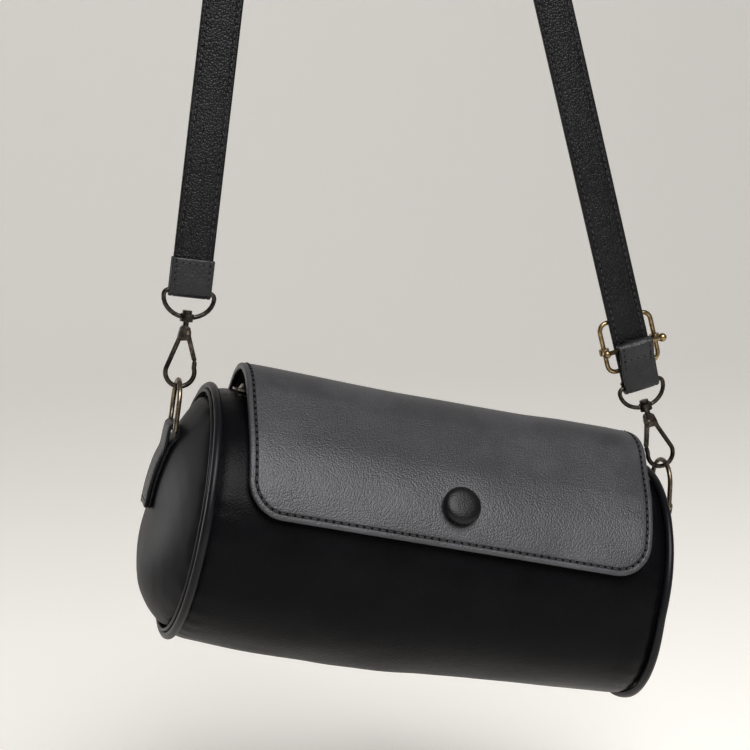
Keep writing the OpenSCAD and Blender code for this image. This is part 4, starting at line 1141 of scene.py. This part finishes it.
def softened(node, width, material):
    """A copy of a solid with merged points, flat faces joined and, given a width, its corners
    rounded.
    """
    piece = placed(node + "_finished", frame["nodes"][node].data.copy())
    form = bmesh.new()
    form.from_mesh(piece.data)
    bmesh.ops.remove_doubles(form, verts=form.verts, dist=2e-6)
    bmesh.ops.dissolve_limit(form, angle_limit=radians(1), verts=form.verts, edges=form.edges)
    form.to_mesh(piece.data)
    form.free()
    if width:
        corners = piece.modifiers.new("corners", "BEVEL")
        corners.width = width * MM
        corners.segments = 2
        corners.limit_method = "ANGLE"
        corners.angle_limit = radians(45)
        baked(piece)
    piece.data.shade_smooth()
    piece.data.set_sharp_from_angle(angle=radians(42))
    bodies = record["behaviour"]["bodies"]
    body = next(name for name, members in bodies.items() if node in members)
    slot = next(part["material_slot"] for part in record["subparts"] if part["node"] == node)
    return made(piece, material, body, slot, node)


for node in ("zip_slider", "zip_pull", "zip_stops"):
    softened(node, 0.14, zip_brass)
for end in SIGN:
    softened(end + "_ring", 0, ring_brass)
    softened(end + "_hook_body", 0.1, hook_bronze)
    gate = softened(end + "_hook_gate", 0.14, hook_bronze)
    pin = Vector(joints[end + "_gate_press"]["pos_m"])
    gate_len = max((vertex.co - pin).length for vertex in gate.data.vertices)
    for vertex in gate.data.vertices:
        reach = (vertex.co - pin).length / gate_len
        if reach > 0.85:
            vertex.co += (vertex.co - pin).normalized() * GATE_REACH * MM
    softened(end + "_gate_pin", 0.08, ring_brass)
    softened(end + "_strap_eye", 0, hook_bronze)
softened("slide_frame", 0, slide_brass)
softened("slide_bar", 0, slide_brass)

# Inside. A loose cloth lining in soft folds, pressed fibre board behind the leather, and the
# plated magnets and springs.
LINING_R, LINING_T, LINING_HALF_LEN = 48.9, 0.5, 92.2
BOARD_HALF = 88.5
lining_points = []
for i in range(73):
    x = -LINING_HALF_LEN + 2 * LINING_HALF_LEN * i / 72
    for turn in (10.5 + 339 * k / 120 for k in range(121)):
        a = radians(turn)
        folds = 1.1 * abs(noise.noise(Vector((x / 16, a * 3, 1))))
        slack = max(0.0, -cos(a)) * 1.2 * abs(noise.noise(Vector((x / 9, a * 6, 5))))
        lining_points.append(on_barrel(x, LINING_R - folds - slack, turn))
lining = wall(outward(link_mesh("loose_lining", lining_points, strips(73, 121))), LINING_T)
made(lining, lining_cloth, "bag", "lining_cloth", "barrel_lining")

fibre = paint("fibre_board", (0.36, 0.31, 0.25), 0.8)
plated = paint("plated_steel", (0.55, 0.55, 0.57), 0.3, metallic=1.0)
inside = {"barrel_board": fibre, "left_end_board": fibre, "right_end_board": fibre,
          "left_end_lining": lining_cloth, "right_end_lining": lining_cloth}
for node, material in inside.items():
    for vertex in softened(node, 0, material).data.vertices:
        x, y, z = untilted(vertex.co)
        if node == "barrel_board":
            x = max(-BOARD_HALF, min(BOARD_HALF, x))
        vertex.co = in_bag(x, y, z)
card_layers = [(12, 1.54), (2.9, 1.54), (2.75, 1.45), (2.75, 0.77), (2.9, 0.68), (12, 0.68)]
card = flap_sheet("flap_stiffener", card_layers)
made(card, fibre, "flap", "stiff_board", "flap_board")
for node in ("body_magnet", "flap_magnet", "left_gate_spring", "right_gate_spring"):
    mesh = frame["nodes"][node].data
    mesh.materials.clear()
    mesh.materials.append(plated)
